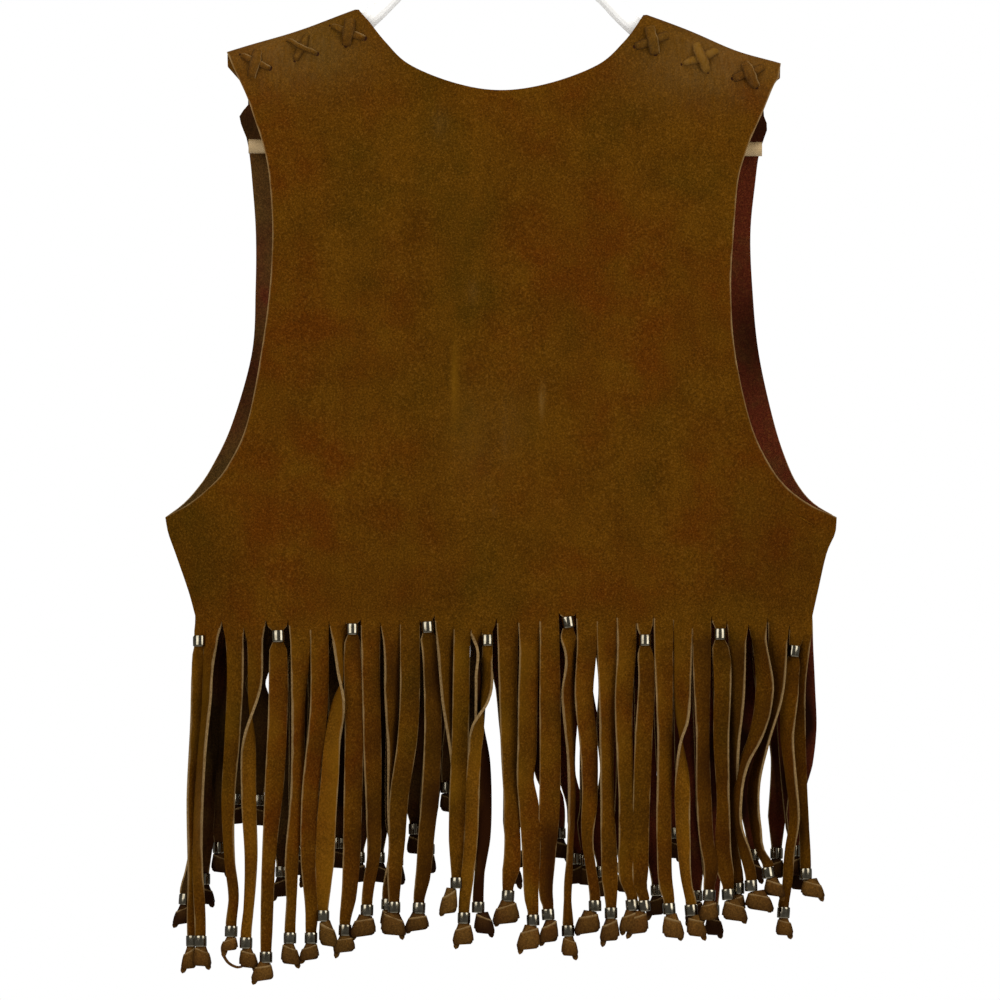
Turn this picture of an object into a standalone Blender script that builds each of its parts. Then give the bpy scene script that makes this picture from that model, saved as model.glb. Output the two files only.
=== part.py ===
"""A fringed suede vest hung by its shoulders on a wooden hanger, at its real size.

The origin is the inner crown of the hanger's hook, where it lies on a rail. +Z is up, the vest's
back faces -Y and its fronts face +Y. Heights in the tables are millimetres below or above neck
level, the height of the left neck point of the back. Widths are millimetres from the middle line.
"""
import math
from bisect import bisect_right
from collections import namedtuple

import bmesh
import bpy
from mathutils import Vector

# Driving sizes, in metres
MM = 0.001
LEATHER = 1.8 * MM
GAP = 0.3 * MM
NECK_LEVEL = -103.0 * MM
HEM = -424.0 * MM
UNDERARM = -355.0 * MM
BODY_DEPTH = 20.0 * MM
SIDE_ROUND = 62.0 * MM
SIDE_PULL = 160.0 * MM
HANG_LENGTH = 150.0 * MM
FRONT_OPENING_LEFT = -9.5 * MM
FRONT_OPENING_RIGHT = -7.5 * MM
FRONT_V_POINT = -235.0 * MM
FRONT_V_BEND = -110.0 * MM
FRONT_V_BEND_SHARE = 0.55
TAB_LENGTH = 28.0 * MM
TAB_TAPER = 14.0 * MM
TAB_INSET = 1.0 * MM

ARM_HALF = 6.5 * MM
BAR_RADIUS = 5.0 * MM
STRUT_X = 146.0 * MM
STRUT_WIDTH = 14.0 * MM
STRUT_DEPTH = 11.0 * MM
STRUT_FOOT = 4.0 * MM
WIRE_RADIUS = 1.75 * MM
HOOK_RADIUS = 19.0 * MM
HOOK_START_ANGLE = 240
HOOK_END_ANGLE = -30
HOOK_ANGLE_STEP = 15
HOOK_BEND = 7.0 * MM
HOOK_BEND_RISE = 5.0 * MM
HOOK_BEND_SIDE = 3.0 * MM

LACE_WIDTH = 6.0 * MM
LACE_THICK = 1.6 * MM
LACE_GAP = 0.75 * MM

# The suede goes round the hanger's arm: the tab first, then the back over it
TAB_RADIUS = ARM_HALF + GAP + LEATHER / 2
BACK_RADIUS = TAB_RADIUS + LEATHER + GAP
CREST = 9.4 * MM
SEAM_Y = (LEATHER + GAP) / 2

# Mesh steps
SIDE_ROWS = 5
ARMHOLE_ROWS = 18
CREST_ROWS = 4
SHOULDER_COLUMNS = 10
ROUND_SIDES = 24
SHARP_ANGLE = math.radians(40.0)
ARM_ROUND_STEPS = 6
CROSS_STEPS = 4
NECK_COLUMNS = 16
FRONT_ROWS = 24
FOLD_ROWS = 12
TAB_ROWS = 3
FRONT_COLUMNS = 10
BACK_FRINGE_COLUMNS = 28
FRONT_FRINGE_COLUMNS = 14

# Armhole edges, a row for each level: the back's edges and the fronts' wider ones
Armhole = namedtuple("Armhole", "level back_left back_right front_left front_right")
ARMHOLE = (
    Armhole(-60, 178, 188, 178, 186.5),
    Armhole(-66, 176, 185.6, 178, 184.5),
    Armhole(-73, 173.7, 182.7, 182, 185.5),
    Armhole(-81, 171, 179, 181, 187),
    Armhole(-89, 168.3, 175.5, 178.5, 184.5),
    Armhole(-101, 165, 171, 176.5, 181),
    Armhole(-120, 162, 166, 175, 178.5),
    Armhole(-155, 160, 163, 173, 176),
    Armhole(-195, 162, 161, 173, 176),
    Armhole(-240, 168, 164, 175, 179),
    Armhole(-290, 178, 175, 189, 192),
    Armhole(-320, 192, 189, 203, 202),
    Armhole(-335, 205, 201, 213, 210),
    Armhole(-346, 219, 216, 223, 220),
    Armhole(-355, 235, 235, 235, 235),
)

# Side seams below the underarm
Side = namedtuple("Side", "level left right")
SIDE = (
    Side(-355, 235, 235),
    Side(-366, 233, 234),
    Side(-380, 228, 228),
    Side(-406, 219, 222),
    Side(-424, 214, 218),
)

# Shoulder crease from neck point to tip, with its soft sag; the right side hangs a little lower
Shoulder = namedtuple("Shoulder", "neck_x neck_level tip_x tip_level")
SHOULDER_LEFT = Shoulder(102, 0, 192, -30)
SHOULDER_RIGHT = Shoulder(102, -4, 196, -37.4)
Sag = namedtuple("Sag", "x half_width depth")
SHOULDER_SAGS = (
    Sag(-142, 36, 1.9),
    Sag(165, 30, 2.9),
)
SAG_FALL = 1.4

# Back neckline, from the left neck point to the right one
Neck = namedtuple("Neck", "x level")
NECKLINE = (
    Neck(-102, 0),
    Neck(-94, -6),
    Neck(-81, -22),
    Neck(-64, -38),
    Neck(-32, -51),
    Neck(0, -56),
    Neck(34, -51),
    Neck(68, -38),
    Neck(86, -22),
    Neck(97, -8),
    Neck(102, -4),
)

# How far the fringe reaches down, a row for each stretch of its width from -1 to 1
Reach = namedtuple("Reach", "place level")
BACK_REACH = (
    Reach(-1.0, -668),
    Reach(-0.72, -680),
    Reach(-0.45, -664),
    Reach(-0.2, -648),
    Reach(0.0, -646),
    Reach(0.25, -662),
    Reach(0.55, -652),
    Reach(0.85, -634),
    Reach(1.0, -646),
)
FRONT_REACH = (
    Reach(-1.0, -606),
    Reach(-0.4, -628),
    Reach(0.2, -612),
    Reach(0.7, -640),
    Reach(1.0, -622),
)
FRINGE_FLARE_LEFT = 10.0 * MM
FRINGE_FLARE_RIGHT = 6.0 * MM

# Fringe thickness down its length: a single sheet at the hem, beads and knots at the ends
Thickness = namedtuple("Thickness", "share thick")
FRINGE_THICKNESS = (
    Thickness(0.0, 1.8),
    Thickness(0.12, 6.0),
    Thickness(0.55, 9.0),
    Thickness(0.8, 13.0),
    Thickness(1.0, 13.0),
)

# Lace crosses on the shoulders: middle and half sizes along and across the shoulder's slope
Cross = namedtuple("Cross", "name x level half_width half_height")
CROSSES = (
    Cross("lace_cross_left_1", -172, -37, 9, 8.5),
    Cross("lace_cross_left_2", -139, -26, 9, 9),
    Cross("lace_cross_left_3", -106, -17, 9, 8.5),
    Cross("lace_cross_right_1", 106, -21, 9.5, 9.5),
    Cross("lace_cross_right_2", 140, -33, 9.5, 9.5),
    Cross("lace_cross_right_3", 174, -45, 9, 9),
)

# Hanger arms between the necks and out to the tips: top edge and height of the wood
ArmMiddle = namedtuple("ArmMiddle", "x top")
ARM_MIDDLE = (
    ArmMiddle(-92, 3),
    ArmMiddle(-80, 14),
    ArmMiddle(-65, 29),
    ArmMiddle(-45, 41),
    ArmMiddle(-22, 46),
    ArmMiddle(0, 47),
    ArmMiddle(22, 45),
    ArmMiddle(45, 39),
    ArmMiddle(65, 26),
    ArmMiddle(80, 10),
    ArmMiddle(92, -1),
)
ArmHeight = namedtuple("ArmHeight", "x height")
ARM_HEIGHT = (
    ArmHeight(0, 25),
    ArmHeight(45, 19),
    ArmHeight(80, 17),
    ArmHeight(102, 18),
    ArmHeight(130, 22),
    ArmHeight(155, 28),
    ArmHeight(180, 37),
    ArmHeight(190, 39),
)
ARM_SHOULDER_STATIONS = (102, 109, 117)
ARM_OUTER_STATIONS = (109, 117, 125, 133, 141, 149, 157, 165, 170)
ARM_TIP_ROUND = ((172.2, 0.88), (173.4, 0.64))
ARM_STEPS = 4

# The bar's two ends, read through the armholes
BarEnd = namedtuple("BarEnd", "x level")
BAR_LEFT = BarEnd(-177, -95)
BAR_RIGHT = BarEnd(183, -97)

# Colours, linear RGB
SUEDE = (0.095, 0.045, 0.008)
SUEDE_DARK = (0.055, 0.026, 0.008)
PALE_WOOD = (0.62, 0.43, 0.24)
STEEL = (0.60, 0.60, 0.58)


def clear_scene():
    for item in list(bpy.data.objects):
        bpy.data.objects.remove(item, do_unlink=True)


def make_material(name, colour, roughness, metallic):
    material = bpy.data.materials.new(name)
    material.use_nodes = True
    shader = material.node_tree.nodes["Principled BSDF"]
    shader.inputs["Base Color"].default_value = (*colour, 1.0)
    shader.inputs["Roughness"].default_value = roughness
    shader.inputs["Metallic"].default_value = metallic
    return material


def add_object(name, data, material):
    data.materials.append(material)
    item = bpy.data.objects.new(name, data)
    bpy.context.scene.collection.objects.link(item)
    return item


def mesh_from_faces(name, points, faces):
    mesh = bpy.data.meshes.new(name)
    mesh.from_pydata([tuple(point) for point in points], [], faces)
    work = bmesh.new()
    work.from_mesh(mesh)
    bmesh.ops.recalc_face_normals(work, faces=work.faces)
    work.to_mesh(mesh)
    work.free()
    mesh.shade_smooth()
    mesh.set_sharp_from_angle(angle=SHARP_ANGLE)
    return mesh


def soft_step(value):
    value = min(1.0, max(0.0, value))
    return value * value * (3.0 - 2.0 * value)


def read_table(places, values, place):
    """Straight-line reading of a table whose places rise."""
    if place <= places[0]:
        return values[0]
    if place >= places[-1]:
        return values[-1]
    row = bisect_right(places, place) - 1
    share = (place - places[row]) / (places[row + 1] - places[row])
    return values[row] + share * (values[row + 1] - values[row])


def smooth_curve(points, steps_each=8):
    """A dense smooth curve through points, as (x, height) pairs."""
    dense = []
    last = len(points) - 1
    for row in range(last):
        before = points[max(row - 1, 0)]
        start = points[row]
        end = points[row + 1]
        after = points[min(row + 2, last)]
        for step in range(steps_each):
            t = step / steps_each
            dense.append(tuple(
                0.5 * (2 * b + (c - a) * t + (2 * a - 5 * b + 4 * c - d) * t * t
                       + (3 * b - a - 3 * c + d) * t ** 3)
                for a, b, c, d in zip(before, start, end, after)))
    dense.append(tuple(points[last]))
    return dense


def spaced(points, count):
    """count + 1 points at even distances along a line of points."""
    lengths = [0.0]
    for one, two in zip(points, points[1:]):
        lengths.append(lengths[-1] + math.dist(one, two))
    xs = [point[0] for point in points]
    heights = [point[1] for point in points]
    stops = [lengths[-1] * row / count for row in range(count + 1)]
    return [(read_table(lengths, xs, stop), read_table(lengths, heights, stop)) for stop in stops]


def between(one, two, share):
    return tuple(a + share * (b - a) for a, b in zip(one, two))


def fill_patch(bottom, top, left, right):
    """Rows of points inside four edge lines, each inner line blended from its neighbours."""
    rows = len(left) - 1
    columns = len(bottom) - 1
    grid = []
    for row in range(rows + 1):
        v = row / rows
        line = []
        for column in range(columns + 1):
            u = column / columns
            across = between(left[row], right[row], u)
            upward = between(bottom[column], top[column], v)
            corner = between(between(bottom[0], bottom[-1], u), between(top[0], top[-1], u), v)
            line.append(tuple(a + b - c for a, b, c in zip(across, upward, corner)))
        grid.append(line)
    return grid


def shoulder_line(x):
    """Height of the shoulder crease with its sag, and of its straight run on towards the neck."""
    side = SHOULDER_LEFT if x < 0 else SHOULDER_RIGHT
    slope = (side.tip_level - side.neck_level) / (side.tip_x - side.neck_x)
    height = side.neck_level * MM + slope * (abs(x) - side.neck_x * MM)
    for sag in SHOULDER_SAGS:
        height -= sag.depth * MM * math.exp(-SAG_FALL * ((x / MM - sag.x) / sag.half_width) ** 2)
    return height


def shoulder_tilt(x):
    """Slope of one shoulder, as an angle from the level."""
    side = SHOULDER_LEFT if x < 0 else SHOULDER_RIGHT
    fall = math.atan2(side.neck_level - side.tip_level, side.tip_x - side.neck_x)
    return fall if x < 0 else -fall


def arm_axis(x):
    """Height of the line that the suede bends round at the shoulder."""
    return shoulder_line(x) - CREST


def side_reach(x, height):
    levels = [row.level * MM for row in reversed(SIDE)]
    widths = [(row.left if x < 0 else row.right) * MM for row in reversed(SIDE)]
    return read_table(levels, widths, height)


def hang_depth(x, height, shoulder_depth):
    """How far a panel hangs from the middle plane: close at the shoulder and at the side seams."""
    below = soft_step((arm_axis(x) - height) / HANG_LENGTH)
    depth = shoulder_depth + (BODY_DEPTH - shoulder_depth) * below
    inside = min(1.0, max(0.0, (side_reach(x, height) - abs(x)) / SIDE_ROUND))
    pull = 1.0 - soft_step((height - UNDERARM) / SIDE_PULL)
    closing = pull * (1.0 - math.sin(inside * math.pi / 2))
    return depth - (depth - SEAM_Y) * closing


def place_back(x, height):
    """The back's flat cut laid on the body and curled over the shoulder."""
    over = (height - arm_axis(x)) / BACK_RADIUS
    if over <= 0:
        return Vector((x, -hang_depth(x, height, BACK_RADIUS), NECK_LEVEL + height))
    top = NECK_LEVEL + arm_axis(x) + BACK_RADIUS * math.sin(over)
    return Vector((x, -BACK_RADIUS * math.cos(over), top))


def place_front(x, height):
    """A front's flat cut: down the front, over the arm, and its tab down under the back."""
    over = (height - arm_axis(x)) / TAB_RADIUS
    if over <= 0:
        return Vector((x, hang_depth(x, height, TAB_RADIUS), NECK_LEVEL + height))
    if over < math.pi:
        top = NECK_LEVEL + arm_axis(x) + TAB_RADIUS * math.sin(over)
        return Vector((x, TAB_RADIUS * math.cos(over), top))
    return Vector((x, -TAB_RADIUS, NECK_LEVEL + arm_axis(x) - TAB_RADIUS * (over - math.pi)))


def wall_object(name, grid, place, material):
    """A sheet of suede, a leather's thickness through, on a grid of flat places."""
    columns = len(grid[0])
    points = [place(x, height) for line in grid for x, height in line]
    faces = []
    for row in range(len(grid) - 1):
        for column in range(columns - 1):
            corner = row * columns + column
            faces.append((corner, corner + 1, corner + columns + 1, corner + columns))
    item = add_object(name, mesh_from_faces(name, points, faces), material)
    thick = item.modifiers.new("leather", "SOLIDIFY")
    thick.thickness = LEATHER
    thick.offset = 0.0
    return item


def edge_line(rows, side, scale):
    """An edge table as (x, height) pairs in metres."""
    return [(scale * getattr(row, side) * MM, row.level * MM) for row in rows]


def back_edge(side, sign, shoulder):
    """Hem to shoulder along one side of the back, in its two stretches."""
    seam = smooth_curve(list(reversed(edge_line(SIDE, side, sign))))
    tip_x = sign * shoulder.tip_x * MM
    armhole = list(reversed(edge_line(ARMHOLE, "back_" + side, sign)))
    armhole.append((tip_x, shoulder_line(tip_x) - CREST))
    return spaced(seam, SIDE_ROWS) + spaced(smooth_curve(armhole), ARMHOLE_ROWS)[1:]


def back_top():
    """The back's upper edge: shoulder, neckline, shoulder."""
    neck = [(row.x * MM, row.level * MM) for row in NECKLINE]
    left_tip = (-SHOULDER_LEFT.tip_x * MM, SHOULDER_LEFT.tip_level * MM)
    right_tip = (SHOULDER_RIGHT.tip_x * MM, SHOULDER_RIGHT.tip_level * MM)
    left = [(x, shoulder_line(x)) for x, _ in spaced([left_tip, neck[0]], SHOULDER_COLUMNS)]
    middle = spaced(smooth_curve(neck), NECK_COLUMNS)
    right = [(x, shoulder_line(x)) for x, _ in spaced([neck[-1], right_tip], SHOULDER_COLUMNS)]
    return left + middle[1:] + right[1:]


def build_back(material):
    top = back_top()
    crest_foot = [(x, height - CREST) for x, height in top]
    left = back_edge("left", -1, SHOULDER_LEFT)
    right = back_edge("right", 1, SHOULDER_RIGHT)
    bottom = spaced([left[0], right[0]], len(top) - 1)
    grid = fill_patch(bottom, crest_foot, left, right)
    for row in range(1, CREST_ROWS + 1):
        share = row / CREST_ROWS
        grid.append([between(low, high, share) for low, high in zip(crest_foot, top)])
    return wall_object("back_panel", grid, place_back, material)


def build_front(side, sign, opening_x, shoulder, material):
    """A front: hem, side seam and armhole, V neck and front edge, and its shoulder tab."""
    fold = TAB_RADIUS * math.pi
    tip_x = sign * (shoulder.tip_x * MM - TAB_INSET)
    neck_x = sign * shoulder.neck_x * MM
    seam = list(reversed(edge_line(SIDE, side, sign)))
    armhole = list(reversed(edge_line(ARMHOLE, "front_" + side, sign)))
    armhole.append((tip_x, arm_axis(tip_x)))
    outer = spaced(smooth_curve(seam) + smooth_curve(armhole)[1:], FRONT_ROWS)
    bend_x = opening_x + FRONT_V_BEND_SHARE * (neck_x - opening_x)
    v_neck = [(opening_x, FRONT_V_POINT), (bend_x, FRONT_V_BEND), (neck_x, arm_axis(neck_x))]
    inner = spaced([(opening_x, HEM)] + smooth_curve(v_neck), FRONT_ROWS)
    bottom = spaced([outer[0], inner[0]], FRONT_COLUMNS)
    shoulder_row = spaced([outer[-1], inner[-1]], FRONT_COLUMNS)
    grid = fill_patch(bottom, shoulder_row, outer, inner)
    tab_end = spaced([(tip_x - sign * TAB_TAPER, 0), (neck_x, 0)], FRONT_COLUMNS)
    for row in range(1, FOLD_ROWS + TAB_ROWS + 1):
        up = fold * row / FOLD_ROWS
        if row > FOLD_ROWS:
            up = fold + TAB_LENGTH * (row - FOLD_ROWS) / TAB_ROWS
        share = up / (fold + TAB_LENGTH)
        line = []
        for start, end in zip(shoulder_row, tab_end):
            x = start[0] + share * (end[0] - start[0])
            line.append((x, arm_axis(x) + up))
        grid.append(line)
    return wall_object("front_panel_" + side, grid, place_front, material)


def closed_wall(name, near, far, material):
    """A closed solid between two grids of points of the same size."""
    rows = len(near)
    columns = len(near[0])
    points = [point for line in near for point in line] + [point for line in far for point in line]
    offset = rows * columns
    rim = [(0, column) for column in range(columns)]
    rim += [(row, columns - 1) for row in range(1, rows)]
    rim += [(rows - 1, column) for column in reversed(range(columns - 1))]
    rim += [(row, 0) for row in reversed(range(1, rows - 1))]
    faces = []
    for row in range(rows - 1):
        for column in range(columns - 1):
            corner = row * columns + column
            quad = (corner, corner + 1, corner + columns + 1, corner + columns)
            faces.append(quad)
            faces.append(tuple(offset + index for index in reversed(quad)))
    for one, two in zip(rim, rim[1:] + rim[:1]):
        first = one[0] * columns + one[1]
        second = two[0] * columns + two[1]
        faces.append((second, first, offset + first, offset + second))
    return add_object(name, mesh_from_faces(name, points, faces), material)


def build_fringe(name, left_x, right_x, flares, reach, facing, columns, material):
    """The reach of one panel's fringe: a sheet at the hem that thickens to its knots."""
    places = [row.place for row in reach]
    levels = [row.level * MM for row in reach]
    shares = [row.share for row in FRINGE_THICKNESS]
    thicks = [row.thick * MM for row in FRINGE_THICKNESS]
    near = []
    far = []
    for share in shares:
        near_line = []
        far_line = []
        for column in range(columns + 1):
            u = column / columns
            end = read_table(places, levels, 2 * u - 1)
            start = HEM - GAP
            height = start + share * (end - start)
            top_x = left_x + u * (right_x - left_x)
            x = top_x + share * (flares[0] * (1 - u) + flares[1] * u)
            thick = read_table(shares, thicks, share)
            shoulder_depth = BACK_RADIUS if facing < 0 else TAB_RADIUS
            middle = hang_depth(top_x, HEM, shoulder_depth)
            inner = max(GAP / 2, middle - thick / 2)
            near_line.append(Vector((x, facing * inner, NECK_LEVEL + height)))
            far_line.append(Vector((x, facing * (inner + thick), NECK_LEVEL + height)))
        near.append(near_line)
        far.append(far_line)
    return closed_wall(name, near, far, material)


def cross_outline(cross):
    """Strips of points for the two crossing thongs: four arms round a middle square."""
    reach = math.hypot(cross.half_width, cross.half_height)
    along = (cross.half_width / reach, cross.half_height / reach)
    half = LACE_WIDTH / 2
    notch_x = half / along[1]
    notch_z = half / along[0]
    middle = [(notch_x, 0), (0, notch_z), (-notch_x, 0), (0, -notch_z)]
    arms = []
    for corner, (sx, sz) in enumerate(((1, 1), (-1, 1), (-1, -1), (1, -1))):
        tip = (sx * cross.half_width * MM, sz * cross.half_height * MM)
        side = (-sz * along[1] * half, sx * along[0] * half)
        first = (tip[0] - side[0], tip[1] - side[1])
        second = (tip[0] + side[0], tip[1] + side[1])
        arms.append((middle[corner], middle[(corner + 1) % 4], second, first))
    return middle, arms


def build_cross(cross, material):
    """One X of thong, lying just clear of the back panel and following its surface."""
    middle, arms = cross_outline(cross)
    flat = list(middle)
    faces = [(0, 1, 2, 3)]
    for corner, (start, end, far_end, far_start) in enumerate(arms):
        last = (corner, (corner + 1) % 4)
        for step in range(1, CROSS_STEPS + 1):
            first = len(flat)
            flat.append(between(start, far_start, step / CROSS_STEPS))
            flat.append(between(end, far_end, step / CROSS_STEPS))
            faces.append((last[0], first, first + 1, last[1]))
            last = (first, first + 1)
    under = []
    over = []
    low = LEATHER / 2 + LACE_GAP
    tilt = shoulder_tilt(cross.x)
    for across, up in flat:
        x = cross.x * MM + across * math.cos(tilt) - up * math.sin(tilt)
        height = cross.level * MM + across * math.sin(tilt) + up * math.cos(tilt)
        out = surface_out(x, height)
        under.append(place_back(x, height) + out * low)
        over.append(place_back(x, height) + out * (low + LACE_THICK))
    count = len(flat)
    edges = set()
    for face in faces:
        for one, two in zip(face, face[1:] + face[:1]):
            edges.add((one, two))
    solid = [tuple(face) for face in faces]
    solid += [tuple(count + index for index in reversed(face)) for face in faces]
    for one, two in sorted(edges):
        if (two, one) not in edges:
            solid.append((two, one, count + one, count + two))
    return add_object(cross.name, mesh_from_faces(cross.name, under + over, solid), material)


def surface_out(x, height):
    """The direction out of the back panel at a flat place."""
    step = 1.0 * MM
    across = place_back(x + step, height) - place_back(x - step, height)
    upward = place_back(x, height + step) - place_back(x, height - step)
    return across.cross(upward).normalized()


def arm_top_line():
    """The arms' top edge between the shoulders, run smoothly on into the line under the suede."""
    places = [station * MM for station in ARM_SHOULDER_STATIONS]
    left = [(-x, arm_axis(-x) + ARM_HALF) for x in reversed(places)]
    right = [(x, arm_axis(x) + ARM_HALF) for x in places]
    return smooth_curve(left + [(row.x * MM, row.top * MM) for row in ARM_MIDDLE] + right, ARM_STEPS)


def arm_top(x):
    if abs(x) > ARM_SHOULDER_STATIONS[1] * MM:
        return arm_axis(x) + ARM_HALF
    places, tops = zip(*arm_top_line())
    return read_table(places, tops, x)


def arm_bottom(x):
    rows = [(row.x * MM, row.height * MM) for row in ARM_HEIGHT]
    mirrored = (-rows[1][0], rows[1][1])
    places, heights = zip(*smooth_curve([mirrored] + rows, ARM_STEPS))
    return arm_top(x) - read_table(places, heights, abs(x))


def build_arms(material):
    """The two arms in one piece of wood: rounded sections from tip to tip."""
    edge = ARM_SHOULDER_STATIONS[0] * MM
    inner = [x for x, top in arm_top_line() if abs(x) < edge + GAP]
    outer = [station * MM for station in ARM_OUTER_STATIONS]
    stations = [(-x, 1.0) for x in reversed(outer)] + [(x, 1.0) for x in inner]
    stations += [(x, 1.0) for x in outer]
    tips = [(x * MM, size) for x, size in ARM_TIP_ROUND]
    stations = [(-x, size) for x, size in reversed(tips)] + stations + tips
    rings = []
    for x, size in stations:
        top = arm_top(x)
        bottom = arm_bottom(x)
        middle = (top + bottom) / 2
        straight = (top - bottom) / 2 - ARM_HALF
        ring = []
        for end in (1, -1):
            for step in range(ARM_ROUND_STEPS + 1):
                turn = math.pi * step / ARM_ROUND_STEPS
                y = end * ARM_HALF * math.cos(turn) * size
                z = middle + end * (straight + ARM_HALF * math.sin(turn)) * size
                ring.append(Vector((x, y, NECK_LEVEL + z)))
        rings.append(ring)
    count = len(rings[0])
    points = [point for ring in rings for point in ring]
    faces = [tuple(range(count)), tuple(range(len(points) - count, len(points)))]
    for ring in range(len(rings) - 1):
        for step in range(count):
            one = ring * count + step
            two = ring * count + (step + 1) % count
            faces.append((one, two, two + count, one + count))
    return add_object("hanger_arms", mesh_from_faces("hanger_arms", points, faces), material)


def bar_height(x):
    share = (x - BAR_LEFT.x * MM) / ((BAR_RIGHT.x - BAR_LEFT.x) * MM)
    return (BAR_LEFT.level + share * (BAR_RIGHT.level - BAR_LEFT.level)) * MM


def add_rod(name, start, end, radius, material):
    """A straight round rod from point to point."""
    run = end - start
    mesh = bpy.data.meshes.new(name)
    work = bmesh.new()
    bmesh.ops.create_cone(work, cap_ends=True, segments=ROUND_SIDES, radius1=radius, radius2=radius,
                          depth=run.length)
    work.to_mesh(mesh)
    work.free()
    turn = run.to_track_quat("Z", "Y").to_matrix().to_4x4()
    turn.translation = (start + end) / 2
    mesh.transform(turn)
    mesh.shade_smooth()
    mesh.set_sharp_from_angle(angle=SHARP_ANGLE)
    return add_object(name, mesh, material)


def build_bar(material):
    start = Vector((BAR_LEFT.x * MM, 0, NECK_LEVEL + BAR_LEFT.level * MM))
    end = Vector((BAR_RIGHT.x * MM, 0, NECK_LEVEL + BAR_RIGHT.level * MM))
    return add_rod("hanger_bar", start, end, BAR_RADIUS, material)


def build_strut(name, x, material):
    """A wooden strut from an arm's underside, with an eye that the bar passes through."""
    left = x - STRUT_WIDTH / 2
    right = x + STRUT_WIDTH / 2
    foot = bar_height(x) - BAR_RADIUS - STRUT_FOOT
    outline = [(left, foot), (right, foot), (right, arm_bottom(right) - GAP),
               (left, arm_bottom(left) - GAP)]
    near = [Vector((px, -STRUT_DEPTH / 2, NECK_LEVEL + pz)) for px, pz in outline]
    far = [Vector((px, STRUT_DEPTH / 2, NECK_LEVEL + pz)) for px, pz in outline]
    faces = [(0, 1, 2, 3), (7, 6, 5, 4)]
    faces += [((step + 1) % 4, step, step + 4, (step + 1) % 4 + 4) for step in range(4)]
    strut = add_object(name, mesh_from_faces(name, near + far, faces), material)
    start = Vector((left - STRUT_WIDTH, 0, NECK_LEVEL + bar_height(left - STRUT_WIDTH)))
    end = Vector((right + STRUT_WIDTH, 0, NECK_LEVEL + bar_height(right + STRUT_WIDTH)))
    eye = add_rod(name + "_eye", start, end, BAR_RADIUS + GAP, material)
    eye.hide_render = True
    eye.display_type = "WIRE"
    cut = strut.modifiers.new("eye", "BOOLEAN")
    cut.operation = "DIFFERENCE"
    cut.object = eye
    return strut


def build_hook(material):
    """A steel wire hook: a stem that bends into three quarters of a ring."""
    centre = WIRE_RADIUS - HOOK_RADIUS
    foot = NECK_LEVEL + arm_top(0.0) + GAP
    stem_top = centre - HOOK_RADIUS - HOOK_BEND
    bend = (-HOOK_BEND_SIDE, stem_top + HOOK_BEND_RISE)
    route = [(0.0, foot), (0.0, (foot + stem_top) / 2), (0.0, stem_top), bend]
    for angle in range(HOOK_START_ANGLE, HOOK_END_ANGLE - 1, -HOOK_ANGLE_STEP):
        turn = math.radians(angle)
        route.append((HOOK_RADIUS * math.cos(turn), centre + HOOK_RADIUS * math.sin(turn)))
    smooth = smooth_curve(route, 2)
    curve = bpy.data.curves.new("hanger_hook", "CURVE")
    curve.dimensions = "3D"
    curve.bevel_depth = WIRE_RADIUS
    curve.bevel_resolution = 2
    curve.use_fill_caps = True
    spline = curve.splines.new("POLY")
    spline.points.add(len(smooth) - 1)
    for point, (x, z) in zip(spline.points, smooth):
        point.co = (x, 0.0, z, 1.0)
    return add_object("hanger_hook", curve, material)


def build_vest():
    suede = make_material("suede", SUEDE, 0.95, 0.0)
    shade = make_material("suede_front", SUEDE_DARK, 0.95, 0.0)
    lace = make_material("suede_lace", SUEDE, 0.9, 0.0)
    build_back(suede)
    build_front("left", -1, FRONT_OPENING_LEFT, SHOULDER_LEFT, shade)
    build_front("right", 1, FRONT_OPENING_RIGHT, SHOULDER_RIGHT, shade)
    hem = SIDE[-1]
    left = -hem.left * MM
    right = hem.right * MM
    build_fringe("fringe_back", left, right, (-FRINGE_FLARE_LEFT, FRINGE_FLARE_RIGHT), BACK_REACH, -1,
                 BACK_FRINGE_COLUMNS, suede)
    build_fringe("fringe_front_left", left, FRONT_OPENING_LEFT, (-FRINGE_FLARE_LEFT, 0), FRONT_REACH, 1,
                 FRONT_FRINGE_COLUMNS, shade)
    build_fringe("fringe_front_right", FRONT_OPENING_RIGHT, right, (0, FRINGE_FLARE_RIGHT), FRONT_REACH, 1,
                 FRONT_FRINGE_COLUMNS, shade)
    for cross in CROSSES:
        build_cross(cross, lace)


def build_hanger():
    wood = make_material("pale_wood", PALE_WOOD, 0.5, 0.0)
    steel = make_material("steel", STEEL, 0.3, 1.0)
    build_arms(wood)
    build_bar(wood)
    build_strut("hanger_strut_left", -STRUT_X, wood)
    build_strut("hanger_strut_right", STRUT_X, wood)
    build_hook(steel)


clear_scene()
build_vest()
build_hanger()
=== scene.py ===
# %% [markdown]
# # A fringed suede vest on a wooden hanger
# The vest is cut from flat suede: a back and two fronts, each slit into strands along its hem.
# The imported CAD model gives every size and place. This lesson loads it as a fixed frame, then makes
# the suede, the strands with their beads and knots, and the laced shoulders on top of it.

import math
import random
from collections import namedtuple

import bpy
import numpy as np
from mathutils import Matrix, Vector


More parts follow.
